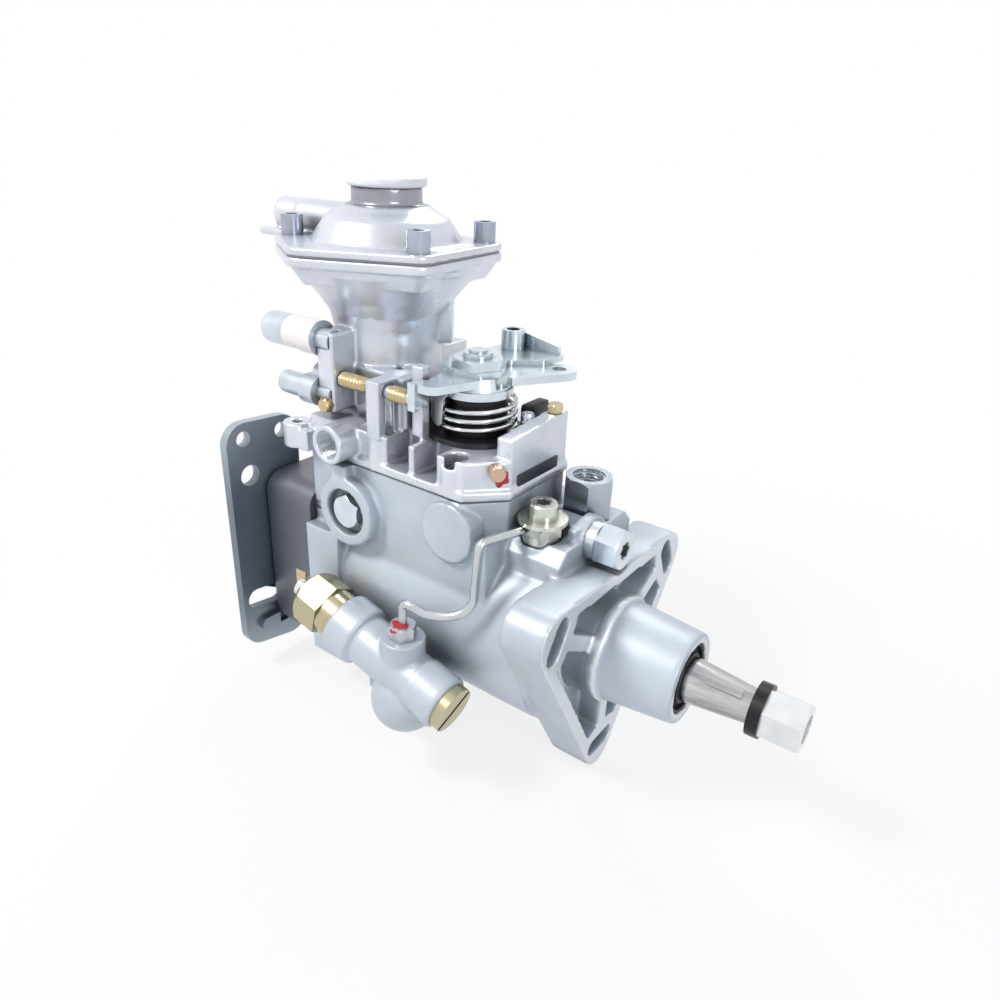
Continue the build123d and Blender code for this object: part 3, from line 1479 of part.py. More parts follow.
# Side unit of the injection advance
def along_unit(distance):
    """Point on the axis of the side unit, from its rear end."""
    return (unit_rear_x + unit_axis[0] * distance, unit_y, unit_rear_z + unit_axis[2] * distance)


def advance_unit_body():
    """Cast body: collar, tube, banjo boss, bulge and the flange that closes the piston bore."""
    back = (-unit_axis[0], 0, -unit_axis[2])
    body = fillet(bar(along_unit(0), unit_axis, unit_collar_r, unit_collar_length).edges(), 2.0)
    body += bar(along_unit(2), unit_axis, unit_tube_r, unit_length - 4)
    body += fillet(bar(along_unit(unit_length - 17), unit_axis, unit_tube_r + 0.6, 17).edges(), 1.5)
    body += bar((unit_boss_x, unit_y, -12), UP, unit_boss_r, unit_boss_top + 12)
    body += Pos(bulge_x, unit_y, bulge_z) * Sphere(bulge_r)
    reach = timing_piston_r + timing_wall
    flange_y = -timing_half - 6
    body += bar((timing_x, -timing_half, timing_z), NEAR, reach - 2, 9)
    body += block(timing_x - 16, timing_x + 18, flange_y, -timing_half, timing_z - 10, timing_z + 18)
    body += block(timing_x - 8, timing_x + 14, unit_y, flange_y + 1, timing_z + 6, timing_z + 26)
    body -= bar(along_unit(-1), unit_axis, unit_piston_bore_r, unit_length + 2)
    body -= bar(along_unit(-1), unit_axis, unit_piston_bore_r + 3, 11)
    body -= bar(along_unit(unit_length + 1), back, unit_piston_bore_r + 1, 9)
    body -= bar((unit_boss_x, unit_y, unit_boss_top + 1), DOWN, pipe_r, 14)
    return body


def advance_unit_plugs():
    """Zinc hexagon fitting with its terminal at the rear, and the slotted brass front plug."""
    back = (-unit_axis[0], 0, -unit_axis[2])
    rear = bar(along_unit(10), back, unit_piston_bore_r + 3, 10)
    rear += bar(along_unit(0), back, unit_hex_flats / 2 - 0.3, unit_neck_length)
    rear += nut_shape(along_unit(-unit_neck_length), back, unit_hex_flats, unit_hex_length)
    hex_end = -unit_neck_length - unit_hex_length
    rear += bar(along_unit(hex_end), back, unit_hex_flats / 2 - 2.5, 2)
    rear += bar(along_unit(hex_end - 2), back, 3.0, 6)
    front = bar(along_unit(unit_length - 8), unit_axis, unit_piston_bore_r + 1, 8)
    front += bar(along_unit(unit_length), unit_axis, unit_plug_r, unit_plug_thick)
    slot = Plane(origin=along_unit(unit_length + unit_plug_thick), x_dir=FAR, z_dir=unit_axis)
    front -= slot * (Rot(0, 0, 35) * Box(30, 2.4, 3.5))
    return together([rear, front])


def rear_bracket():
    """Steel plate on the rear face of the head, with holes, a cut-out and a lip."""
    face = make_face(
        Polyline(
            (bracket_left_y, bracket_bottom_z),
            (bracket_left_y, bracket_top_z),
            (-18, bracket_top_z - 3),
            (-21, bracket_bottom_z - 8),
            close=True,
        )
    )
    face = fillet(face.vertices(), bracket_corner_r)
    face -= Circle(valve_pitch_r + valve_flats * 0.575 + 0.6)
    face -= Pos(bracket_left_y + 15, -26) * (Rot(0, 0, -8) * SlotOverall(24, 11))
    for y, z in ((-52, 66), (-29, 65)):
        face -= Pos(y, z) * Circle(bracket_hole_small_r)
    face -= Pos(-50, 46) * Circle(bracket_hole_large_r)
    plate = across(head_back - bracket_thick) * extrude(face, amount=bracket_thick)
    lip = make_hull((Pos(-50, -42) * Circle(3.7) + Pos(-32, -42) * Circle(3.7)).edges())
    plate += across(head_back - 1) * extrude(lip, amount=4)
    for place in bracket_bolt_places():
        plate -= bar((head_back - bracket_thick - 1, place[1], place[2]), X, pivot_bolt_r, bracket_thick + 2)
    return plate - block(head_back, head_front, -head_half_y, head_half_y, -head_half_z, head_half_z)


def main():
    """Writes every sub-part."""
    os.makedirs("parts", exist_ok=True)
    makers = (
        pump_housing,
        shaft_seal,
        front_bush,
        drive_shaft,
        shaft_lock_washer,
        shaft_nut,
        vane_pump_liner,
        vane_pump_rotor,
        vane_pump_plate,
        governor_drive_gear,
        coupling_disc,
        roller_ring,
        cam_rollers,
        cam_plate,
        distributor_plunger,
        spring_bridge,
        plunger_springs,
        control_collar,
        distributor_head,
        head_fittings,
        shutoff_solenoid,
        shutoff_plunger,
        timing_piston,
        timing_spring,
        timing_cover,
        governor_shaft,
        flyweight_carrier,
        governor_sleeve,
        corrector_lever,
        governor_lever,
        governor_spring,
        control_shaft,
        governor_cover,
        cover_gasket,
        boost_cover,
        boost_cap,
        boost_diaphragm,
        boost_pin,
        socket_screws,
        hex_bolts,
        spring_base,
        lever_return_spring,
        control_lever,
        lever_fasteners,
        adjusting_screws,
        pressure_valve,
        inlet_connector,
        pressure_pipe,
        advance_unit_body,
        advance_unit_plugs,
        rear_bracket,
    )
    for maker in makers:
        save(maker(), maker.__name__)
    save(key_disc(key_width), "shaft_key")
    for number in range(valve_count):
        save(delivery_valve(number), "delivery_valve_" + str(number + 1))
    for number in range(weight_count):
        save(flyweight(number), "flyweight_" + str(number + 1))


main()
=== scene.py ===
import math

import bmesh
import bpy
import numpy as np
from mathutils import Matrix, Vector


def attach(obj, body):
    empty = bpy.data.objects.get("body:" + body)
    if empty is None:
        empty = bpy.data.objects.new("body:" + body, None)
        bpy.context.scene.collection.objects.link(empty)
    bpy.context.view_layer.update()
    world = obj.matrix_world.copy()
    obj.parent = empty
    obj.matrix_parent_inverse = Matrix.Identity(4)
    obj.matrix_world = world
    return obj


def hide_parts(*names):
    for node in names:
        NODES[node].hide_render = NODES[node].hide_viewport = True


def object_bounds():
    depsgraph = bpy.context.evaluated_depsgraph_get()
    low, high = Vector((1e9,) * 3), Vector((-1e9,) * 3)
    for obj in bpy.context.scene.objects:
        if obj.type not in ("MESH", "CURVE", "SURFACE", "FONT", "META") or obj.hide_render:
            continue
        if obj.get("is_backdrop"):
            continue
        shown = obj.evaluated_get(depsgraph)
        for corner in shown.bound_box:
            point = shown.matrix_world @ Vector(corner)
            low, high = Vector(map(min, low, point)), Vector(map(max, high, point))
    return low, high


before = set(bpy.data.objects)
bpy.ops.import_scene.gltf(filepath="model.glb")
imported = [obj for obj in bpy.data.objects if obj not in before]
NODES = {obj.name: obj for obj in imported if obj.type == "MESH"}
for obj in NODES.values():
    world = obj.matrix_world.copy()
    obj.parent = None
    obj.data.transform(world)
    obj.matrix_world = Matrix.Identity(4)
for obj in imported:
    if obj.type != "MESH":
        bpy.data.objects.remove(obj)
cad_low, cad_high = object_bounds()
scene = bpy.context.scene
scene.view_settings.view_transform = "Standard"

# The camera stands a little over a third of a metre from the pump, in front of the fittings side,
# and looks down on it past the nose, with the lens that the pump's own perspective gives.
turn, tilt, roll = math.radians(35.63), math.radians(25.08), math.radians(2.43)
right = Vector((math.cos(turn), math.sin(turn), 0))
up = Vector((-math.sin(turn) * math.sin(tilt), math.cos(turn) * math.sin(tilt), math.cos(tilt)))
back = Vector((math.sin(turn) * math.cos(tilt), -math.cos(turn) * math.cos(tilt), math.sin(tilt)))
rolled_right = math.cos(roll) * right + math.sin(roll) * up
rolled_up = -math.sin(roll) * right + math.cos(roll) * up
eye = Vector((0.1235, -0.2682, 0.2080))
camera = bpy.data.objects.new("camera", bpy.data.cameras.new("camera"))
scene.collection.objects.link(camera)
camera.matrix_world = Matrix(
    (
        (rolled_right.x, rolled_up.x, back.x, eye.x),
        (rolled_right.y, rolled_up.y, back.y, eye.y),
        (rolled_right.z, rolled_up.z, back.z, eye.z),
        (0, 0, 0, 1),
    )
)
camera.data.sensor_width = 36.0
camera.data.lens = 27.993
camera.data.shift_x = 0.0062
camera.data.shift_y = -0.0055
camera.data.clip_start = 0.01
camera.data.clip_end = 20.0
scene.camera = camera

# The room is a white sweep: what the camera and the polished metal see of it is plain white,
# and the rest of its light is softer and a little cool. Three round lamps face the pump.


def worked_out(tree, operation, *values):
    """The socket of one calculation on other sockets and plain numbers."""
    node = tree.nodes.new("ShaderNodeMath")
    node.operation = operation
    for socket, value in zip(node.inputs, values):
        if isinstance(value, float):
            socket.default_value = value
        else:
            tree.links.new(value, socket)
    return node.outputs[0]


def mixed(tree, share, first, second):
    """A mix of two shaders, as a socket: all of the first at share 0 and all of the second at 1."""
    node = tree.nodes.new("ShaderNodeMixShader")
    tree.links.new(share, node.inputs[0])
    tree.links.new(first.outputs[0], node.inputs[1])
    tree.links.new(second.outputs[0], node.inputs[2])
    return node.outputs[0]


world = bpy.data.worlds.new("white_room")
scene.world = world
world.use_nodes = True
tree = world.node_tree
tree.nodes.clear()
rays = tree.nodes.new("ShaderNodeLightPath").outputs
seen = worked_out(tree, "MAXIMUM", rays["Is Camera Ray"], rays["Is Glossy Ray"])
seen = worked_out(tree, "MAXIMUM", seen, rays["Is Transmission Ray"])
soft = tree.nodes.new("ShaderNodeBackground")
soft.inputs["Color"].default_value = (0.90, 0.94, 1.0, 1)
soft.inputs["Strength"].default_value = 0.42
white = tree.nodes.new("ShaderNodeBackground")
white.inputs["Color"].default_value = (1, 1, 1, 1)
white.inputs["Strength"].default_value = 1.0
out = tree.nodes.new("ShaderNodeOutputWorld")
tree.links.new(mixed(tree, seen, soft, white), out.inputs["Surface"])
pump_middle = Vector((-0.06, 0, 0.04))
for name, place, size, power, colour in (
    ("key_lamp", (-0.45, -0.60, 0.85), 0.30, 7.6, (1.0, 0.985, 0.97)),
    ("side_lamp", (0.95, -0.45, 0.50), 0.4, 3.0, (0.96, 0.98, 1.0)),
    ("back_lamp", (-0.35, 0.65, 0.80), 0.5, 3.2, (1.0, 1.0, 1.0)),
):
    lamp = bpy.data.lights.new(name, "AREA")
    lamp.shape = "DISK"
    lamp.size = size
    lamp.energy = power
    lamp.color = colour
    holder = bpy.data.objects.new(name, lamp)
    scene.collection.objects.link(holder)
    holder.location = place
    holder.rotation_euler = (Vector(place) - pump_middle).to_track_quat("Z", "Y").to_euler()

# The floor is a wide white table top under the flange, which only shows by the pump's soft shadow.
# From half a metre away it is plain white, as the room is.
floor_mesh = bpy.data.meshes.new("floor")
floor_z = cad_low.z - 0.0005
floor_half = 3.0
corners = [(floor_half * x, floor_half * y, floor_z) for x, y in ((-1, -1), (1, -1), (1, 1), (-1, 1))]
floor_mesh.from_pydata(corners, [], [(0, 1, 2, 3)])
floor = bpy.data.objects.new("floor", floor_mesh)
scene.collection.objects.link(floor)
floor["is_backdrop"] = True
floor_white = bpy.data.materials.new("floor_white")
floor_white.use_nodes = True
tree = floor_white.node_tree
tree.nodes.clear()


def fitted(tree, value, low, high, to_low, to_high, kind="LINEAR"):
    """A socket that goes from to_low to to_high while value goes from low to high, and stays there."""
    node = tree.nodes.new("ShaderNodeMapRange")
    node.interpolation_type = kind
    for name, number in (("From Min", low), ("From Max", high), ("To Min", to_low), ("To Max", to_high)):
        node.inputs[name].default_value = number
    tree.links.new(value, node.inputs["Value"])
    return node.outputs["Result"]


rays = tree.nodes.new("ShaderNodeLightPath").outputs
seen = worked_out(tree, "MAXIMUM", rays["Is Camera Ray"], rays["Is Glossy Ray"])
away = tree.nodes.new("ShaderNodeVectorMath")
away.operation = "LENGTH"
tree.links.new(tree.nodes.new("ShaderNodeTexCoord").outputs["Object"], away.inputs[0])
whiter = fitted(tree, away.outputs["Value"], 0.12, 0.45, 0.80, 1.0, "SMOOTHSTEP")
paint = tree.nodes.new("ShaderNodeBsdfDiffuse")
paint.inputs["Color"].default_value = (0.86, 0.87, 0.88, 1)
glow = tree.nodes.new("ShaderNodeEmission")
glow.inputs["Color"].default_value = (1, 1, 1, 1)
out = tree.nodes.new("ShaderNodeOutputMaterial")
share = worked_out(tree, "MULTIPLY", seen, whiter)
tree.links.new(mixed(tree, share, paint, glow), out.inputs["Surface"])
floor_mesh.materials.append(floor_white)

# The housing is one aluminium casting, blasted to an even light blue-grey. Its edges and corners are
# as round as the mould made them, while the pilot, the hub and the nose's end are turned.


def scaled(tree, colour, share):
    """A colour socket times a share."""
    node = tree.nodes.new("ShaderNodeVectorMath")
    node.operation = "SCALE"
    tree.links.new(colour, node.inputs[0])
    tree.links.new(share, node.inputs["Scale"])
    return node.outputs["Vector"]


def tinted(tree, value, low, high, darkest, lightest):
    """A colour socket that goes from one colour to a lighter one while value goes from low to high."""
    node = tree.nodes.new("ShaderNodeValToRGB")
    for element, place, colour in zip(node.color_ramp.elements, (low, high), (darkest, lightest)):
        element.position = place
        element.color = (*[min(1.0, c) for c in colour], 1)
    tree.links.new(value, node.inputs["Fac"])
    return node.outputs["Color"]


def roughened(tree, shader, height, strength, depth):
    """Bumps a shader's surface by a height socket."""
    node = tree.nodes.new("ShaderNodeBump")
    node.inputs["Strength"].default_value = strength
    node.inputs["Distance"].default_value = depth
    tree.links.new(height, node.inputs["Height"])
    tree.links.new(node.outputs["Normal"], shader.inputs["Normal"])


def noise(tree, place, scale, detail, rough=0.5):
    """A noise socket over a place socket."""
    node = tree.nodes.new("ShaderNodeTexNoise")
    node.inputs["Scale"].default_value = scale
    node.inputs["Detail"].default_value = detail
    node.inputs["Roughness"].default_value = rough
    tree.links.new(place, node.inputs["Vector"])
    return node.outputs["Fac"]


def cast_metal(name, colour, metallic, rough, cloud, grain, depth):
    """Cast metal: slow clouds lighten and darken the colour, painted shade from an occlusion node dims
    it in corners and hollows, and a fine grain roughens the surface."""
    material = bpy.data.materials.new(name)
    material.use_nodes = True
    tree = material.node_tree
    shader = tree.nodes["Principled BSDF"]
    shader.inputs["Metallic"].default_value = metallic
    place = tree.nodes.new("ShaderNodeTexCoord").outputs["Object"]
    clouds = noise(tree, place, cloud, 6.0, 0.6)
    tint = tinted(tree, clouds, 0.32, 0.72, [c * 0.86 for c in colour], [c * 1.07 for c in colour])
    # Painted shade: the colour is darkened where the surface is hemmed in, in corners and hollows.
    painted_hollow_shade = tree.nodes.new("ShaderNodeAmbientOcclusion")
    painted_hollow_shade.samples = 6
    painted_hollow_shade.inputs["Distance"].default_value = 0.014
    shade = fitted(tree, painted_hollow_shade.outputs["AO"], 0.15, 0.85, 0.38, 1.0)
    tree.links.new(scaled(tree, tint, shade), shader.inputs["Base Color"])
    spread = fitted(tree, clouds, 0.0, 1.0, rough * 0.82, min(1.0, rough * 1.2))
    tree.links.new(spread, shader.inputs["Roughness"])
    roughened(tree, shader, noise(tree, place, grain, 4.0), 0.5, depth)
    return material


def even_out(points, edges, rounds, weight):
    """Moves every point part of the way to the mean of its neighbours, then a little less back out,
    so corners round off while the whole keeps its size."""
    count = np.zeros(len(points))
    np.add.at(count, edges[:, 0], 1.0)
    np.add.at(count, edges[:, 1], 1.0)
    count = np.maximum(count, 1.0)[:, None]
    inward, outward = 0.55, -0.35
    for step in range(rounds):
        for share in (inward, outward):
            total = np.zeros_like(points)
            np.add.at(total, edges[:, 0], points[edges[:, 1]])
            np.add.at(total, edges[:, 1], points[edges[:, 0]])
            points = points + share * weight[:, None] * (total / count - points)
    return points


def soft_casting(node, name, cell, rounds, most, turned=None):
    """A copy of a cast node laid again on an even grid of cells, whose edges are then evened out.
    turned gives, for an array of points, 1 where the surface was turned afterwards and stays sharp."""
    source = NODES[node]
    welded = bmesh.new()
    welded.from_mesh(source.data)
    bmesh.ops.remove_doubles(welded, verts=welded.verts, dist=2e-6)
    mesh = bpy.data.meshes.new(name + "_source")
    welded.to_mesh(mesh)
    welded.free()
    holder = bpy.data.objects.new(name + "_source", mesh)
    scene.collection.objects.link(holder)
    grid = holder.modifiers.new("grid", "REMESH")
    grid.mode = "VOXEL"
    grid.voxel_size = cell
    evaluated = holder.evaluated_get(bpy.context.evaluated_depsgraph_get())
    laid = bpy.data.meshes.new_from_object(evaluated)
    points = np.empty(len(laid.vertices) * 3)
    laid.vertices.foreach_get("co", points)
    points = points.reshape(-1, 3)
    edges = np.empty(len(laid.edges) * 2, np.int64)
    laid.edges.foreach_get("vertices", edges)
    edges = edges.reshape(-1, 2)
    weight = np.ones(len(points))
    if turned is not None:
        weight = 1.0 - 0.85 * turned(points)
    points = even_out(points, edges, rounds, weight)
    laid.vertices.foreach_set("co", points.astype(np.float32).ravel())
    laid.update()
    bpy.data.objects.remove(holder)
    piece = bpy.data.objects.new(name, laid)
    scene.collection.objects.link(piece)
    corners = np.empty(len(laid.polygons), np.int32)
    laid.polygons.foreach_get("loop_total", corners)
    triangles = int(corners.sum()) - 2 * len(corners)
    if triangles > most:
        fewer = piece.modifiers.new("fewer", "DECIMATE")
        fewer.ratio = most / triangles
        evaluated = piece.evaluated_get(bpy.context.evaluated_depsgraph_get())
        thinned = bpy.data.meshes.new_from_object(evaluated)
        piece.modifiers.clear()
        piece.data = thinned
        bpy.data.meshes.remove(laid)
    piece.data.shade_smooth()
    piece.data.materials.clear()
    return piece


def turned_parts(points):
    """1 on the hub, the pilot ring, the nose's bore and the flange's front face, and 0 elsewhere, from
    the place along the shaft and the distance from it."""
    x = points[:, 0]
    away = np.hypot(points[:, 1], points[:, 2])
    hub = (x > -0.0125) & (x < 0.0055) & (away < 0.0262)
    mouth = (x > 0.030) & (away < 0.0185)
    face = (x > -0.0004) & (away > 0.030)
    return (hub | mouth | face).astype(float)


def lay_over(material, share, colour):
    """Mixes a second colour over a material's own colour, by a share from another socket."""
    tree = material.node_tree
    own = tree.nodes["Principled BSDF"].inputs["Base Color"]
    pick = tree.nodes.new("ShaderNodeMix")
    pick.data_type = "RGBA"
    pick.inputs[7].default_value = (*colour, 1)
    tree.links.new(share, pick.inputs[0])
    tree.links.new(own.links[0].from_socket, pick.inputs[6])
    tree.links.new(pick.outputs[2], own)


housing_metal = cast_metal("housing_cast", (0.57, 0.63, 0.70), 0.25, 0.40, 22.0, 1900.0, 0.00012)
housing = soft_casting("pump_housing", "housing_casting", 0.0010, 4, 195000, turned_parts)
housing.data.materials.append(housing_metal)
points = np.empty(len(housing.data.vertices) * 3)
housing.data.vertices.foreach_get("co", points)
points = points.reshape(-1, 3)
# The pocket of the governor keeps its half millimetre of air round the turning carrier: the part of
# its wall that the evening out drew inward goes back to the pocket's radius.
governor_axis = np.array([0.003, 0.047])
pocket_rear, pocket_front = -0.100, -0.0495
pocket_radius, carrier_radius = 0.0205, 0.0185
from_axis = points[:, 1:] - governor_axis
away = np.hypot(from_axis[:, 0], from_axis[:, 1])
inside = (points[:, 0] > pocket_rear) & (points[:, 0] < pocket_front)
near = inside & (away > carrier_radius) & (away < pocket_radius)
push = np.where(near, pocket_radius / np.maximum(away, 1e-6), 1.0)
points[:, 1:] = governor_axis + from_axis * push[:, None]
housing.data.vertices.foreach_set("co", points.astype(np.float32).ravel())
bare = housing.data.attributes.new("turned", "FLOAT", "POINT")
bare.data.foreach_set("value", turned_parts(points).astype(np.float32))
tree = housing_metal.node_tree
bright = tree.nodes.new("ShaderNodeAttribute")
bright.attribute_name = "turned"
bright_share = worked_out(tree, "MULTIPLY", bright.outputs["Fac"], 0.8)
lay_over(housing_metal, bright_share, (0.72, 0.745, 0.78))
shine = fitted(tree, bright.outputs["Fac"], 0.0, 1.0, 0.25, 0.92)
tree.links.new(shine, tree.nodes["Principled BSDF"].inputs["Metallic"])
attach(housing, "body")
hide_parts("pump_housing")

# The governor cover and the boost chamber's dome are brighter castings, left as they came from the die,
# with a slight sheen. Above the foot of its neck, under the cap, the dome's colour is darker, at 0.55 of
# the rest.
cover_metal = cast_metal("cover_cast", (0.72, 0.755, 0.83), 0.55, 0.28, 30.0, 1300.0, 0.00003)


def place_on(tree):
    """The sockets X, Y and Z of the place on the object."""
    split = tree.nodes.new("ShaderNodeSeparateXYZ")
    tree.links.new(tree.nodes.new("ShaderNodeTexCoord").outputs["Object"], split.inputs[0])
    return split.outputs


tree = cover_metal.node_tree
colour = tree.nodes["Principled BSDF"].inputs["Base Color"]
neck_foot, neck_edge = 0.1760, 0.0008
neck = fitted(tree, place_on(tree)["Z"], neck_foot, neck_foot + neck_edge, 1.0, 0.55)
tree.links.new(scaled(tree, colour.links[0].from_socket, neck), colour)
for node, name, most in (
    ("governor_cover", "cover_casting", 180000),
    ("boost_cover", "dome_casting", 120000),
):
    casting = soft_casting(node, name, 0.0008, 3, most)
    casting.data.materials.append(cover_metal)
    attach(casting, "body")
    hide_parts(node)

# The advance unit's body is a casting of its own, of the same blasted metal but a little greyer.
unit_metal = cast_metal("unit_cast", (0.56, 0.61, 0.67), 0.25, 0.40, 26.0, 1900.0, 0.00012)
unit = soft_casting("advance_unit_body", "unit_casting", 0.0007, 4, 120000)
unit.data.materials.append(unit_metal)
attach(unit, "body")
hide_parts("advance_unit_body")

# The distributor head is a block of steel with a dull brown-grey finish, and the bracket behind it is a
# thick plate with a dark zinc finish. Toward its upper and lower end it is painted paler, a painted
# reflection of the bright room.


def dress(material, *names):
    """Gives carried-over nodes one finish."""
    for name in names:
        NODES[name].data.materials.clear()
        NODES[name].data.materials.append(material)


head_metal = cast_metal("head_steel", (0.20, 0.205, 0.235), 0.6, 0.40, 18.0, 900.0, 0.00006)
dress(head_metal, "distributor_head")
bracket_metal = cast_metal("bracket_zinc", (0.17, 0.215, 0.26), 0.6, 0.30, 34.0, 700.0, 0.00004)
tree = bracket_metal.node_tree
# Painted reflection: away from its middle height the bracket's colour is lifted toward a pale blue-grey.
bracket_middle, painted_reflection_from, painted_reflection_to = 0.004, 0.026, 0.076
above = worked_out(tree, "SUBTRACT", place_on(tree)["Z"], bracket_middle)
from_middle = worked_out(tree, "ABSOLUTE", above)
level = fitted(tree, from_middle, painted_reflection_from, painted_reflection_to, 0.0, 0.75, "SMOOTHSTEP")
lay_over(bracket_metal, level, (0.50, 0.56, 0.61))
dress(bracket_metal, "rear_bracket")

# The drive shaft and its key are ground and polished; the dark streaks along the cone are painted
# reflections. The nut is bright zinc and its lock washer is blackened.


def turned_metal(name, colour, rough, along, pitch, depth, metallic=0.9, across=12.0, low=0.92):
    """Turned metal: noise that changes mostly along one axis leaves fine rings round it. A low pitch and
    a high across give streaks that run along the axis instead; with a low colour share they are dark
    streaks of painted reflection, as on the shaft's taper."""
    material = bpy.data.materials.new(name)
    material.use_nodes = True
    tree = material.node_tree
    shader = tree.nodes["Principled BSDF"]
    shader.inputs["Metallic"].default_value = metallic
    stretch = tree.nodes.new("ShaderNodeMapping")
    stretch.inputs["Scale"].default_value = tuple(pitch if k == along else across for k in range(3))
    tree.links.new(tree.nodes.new("ShaderNodeTexCoord").outputs["Object"], stretch.inputs["Vector"])
    rings = noise(tree, stretch.outputs["Vector"], 1.0, 5.0, 0.65)
    tint = tinted(tree, rings, 0.30, 0.70, [c * low for c in colour], [c * 1.05 for c in colour])
    tree.links.new(tint, shader.inputs["Base Color"])
    spread = fitted(tree, rings, 0.0, 1.0, rough * 0.85, min(1.0, rough * 1.15))
    tree.links.new(spread, shader.inputs["Roughness"])
    roughened(tree, shader, rings, 0.4, depth)
    return material


# Painted reflection: the streaks darken the ground steel to 0.22 of its colour along the cone.
ground = turned_metal("shaft_ground_painted_streaks", (0.72, 0.72, 0.74), 0.18, 0, 9.0, 0.000004, 1.0, 130.0, 0.22)
dress(ground, "drive_shaft", "shaft_key")
bright_zinc = turned_metal("nut_zinc", (0.88, 0.90, 0.92), 0.26, 0, 30.0, 0.000003, 0.85, 30.0, 0.80)
dress(bright_zinc, "shaft_nut")
blackened = turned_metal("washer_black", (0.02, 0.02, 0.022), 0.35, 0, 600.0, 0.00002, 0.6)
dress(blackened, "shaft_lock_washer")

# The shaft runs in a bronze bush, behind the black rubber lip seal in the nose. The thin line between
# the boost chamber's bowl and dome is the rim of a grey rubber diaphragm.
dress(turned_metal("seal_rubber", (0.015, 0.015, 0.016), 0.55, 0, 500.0, 0.00002, 0.0), "shaft_seal")
dress(turned_metal("grey_rubber", (0.34, 0.36, 0.40), 0.55, 0, 500.0, 0.00002, 0.0), "boost_diaphragm")
dress(turned_metal("bronze", (0.52, 0.36, 0.18), 0.3, 0, 600.0, 0.00002), "front_bush")

# Inside, the vane pump, gears, cam, rollers, governor and plunger are all hardened and ground steel,
# and the springs are wound from polished wire, as the return spring under the lever shows.
steel = turned_metal("steel_ground", (0.50, 0.51, 0.53), 0.26, 0, 2400.0, 0.00001)
dress(
    steel,
    "vane_pump_liner",
    "vane_pump_rotor",
    "vane_pump_plate",
    "governor_drive_gear",
    "coupling_disc",
    "roller_ring",
    "cam_rollers",
    "cam_plate",
    "distributor_plunger",
    "spring_bridge",
    "control_collar",
    "delivery_valve_1",
    "delivery_valve_2",
    "delivery_valve_3",
    "delivery_valve_4",
    "shutoff_plunger",
    "timing_piston",
    "flyweight_carrier",
    "flyweight_1",
    "flyweight_2",
    "flyweight_3",
    "flyweight_4",
    "governor_sleeve",
    "corrector_lever",
    "governor_lever",
    "boost_pin",
)
wire = turned_metal("spring_wire", (0.75, 0.76, 0.78), 0.14, 2, 700.0, 0.00001, 1.0)
dress(wire, "plunger_springs", "timing_spring", "governor_spring", "lever_return_spring")

# Screws, unions and plugs are zinc plated: blue on the screws and fittings, yellow on the side unit.
# The thin pipe is bare steel, and so is the can of the shut-off solenoid, a little yellowed.
zinc = cast_metal("zinc_blue", (0.70, 0.77, 0.84), 0.85, 0.24, 90.0, 1600.0, 0.00002)
dress(zinc, "hex_bolts", "head_fittings", "governor_shaft")
for name, colour, metallic, rough, cloud, grain, depth, node in (
    ("screw_zinc", (0.44, 0.48, 0.57), 0.85, 0.26, 90.0, 1600.0, 0.00002, "socket_screws"),
    ("inlet_zinc", (0.47, 0.52, 0.59), 0.85, 0.22, 90.0, 1600.0, 0.00002, "inlet_connector"),
    ("valve_zinc", (0.72, 0.74, 0.66), 0.85, 0.22, 90.0, 1600.0, 0.00002, "pressure_valve"),
    ("sealed_screws", (0.66, 0.72, 0.78), 0.7, 0.3, 90.0, 1600.0, 0.00002, "adjusting_screws"),
    ("zinc_yellow", (0.53, 0.48, 0.31), 0.9, 0.27, 90.0, 1500.0, 0.00002, "advance_unit_plugs"),
    ("pipe_steel", (0.60, 0.62, 0.64), 0.9, 0.24, 60.0, 1500.0, 0.00001, "pressure_pipe"),
    ("solenoid_can", (0.50, 0.50, 0.47), 0.85, 0.32, 40.0, 1200.0, 0.00002, "shutoff_solenoid"),
):
    dress(cast_metal(name, colour, metallic, rough, cloud, grain, depth), node)

# The upper limit screw is sealed: a pinkish-white plastic sleeve sits on its thread behind the cap.
sealed = NODES["adjusting_screws"].data.materials[0]
tree = sealed.node_tree
place = place_on(tree)
sleeve_middle, sleeve_half, sleeve_low = -0.1505, 0.0095, 0.111
along_sleeve = worked_out(tree, "COMPARE", place["X"], sleeve_middle, sleeve_half)
upper_screw = worked_out(tree, "GREATER_THAN", place["Z"], sleeve_low)
sleeve = worked_out(tree, "MULTIPLY", along_sleeve, upper_screw)
lay_over(sealed, sleeve, (0.86, 0.80, 0.79))
metal_share = fitted(tree, sleeve, 0.0, 1.0, 0.7, 0.0)
tree.links.new(metal_share, tree.nodes["Principled BSDF"].inputs["Metallic"])

# The control lever is two zinc-plated plates clamped on the control shaft, over a black plastic base
# that seats the return spring.
lever_zinc = cast_metal("lever_zinc", (0.70, 0.78, 0.83), 0.85, 0.22, 70.0, 1200.0, 0.00002)
dress(lever_zinc, "control_lever", "lever_fasteners", "control_shaft")
black = cast_metal("black_plastic", (0.012, 0.012, 0.014), 0.0, 0.42, 60.0, 2000.0, 0.00003)
dress(black, "spring_base")

# The timing piston's cover is a small casting, the cover's gasket is pressed fibre, and the cap on the
# dome's neck is white plastic.
plate_cast = cast_metal("cover_plate_cast", (0.66, 0.68, 0.71), 0.5, 0.4, 40.0, 1500.0, 0.00008)
dress(plate_cast, "timing_cover")
dress(cast_metal("gasket_fibre", (0.16, 0.15, 0.14), 0.0, 0.8, 90.0, 2500.0, 0.00005), "cover_gasket")
white_plastic = cast_metal("white_plastic", (0.88, 0.91, 0.92), 0.0, 0.3, 20.0, 1500.0, 0.00001)
dress(white_plastic, "boost_cap")

# The inlet and the return port have real threads in their mouths, cut down from the face.


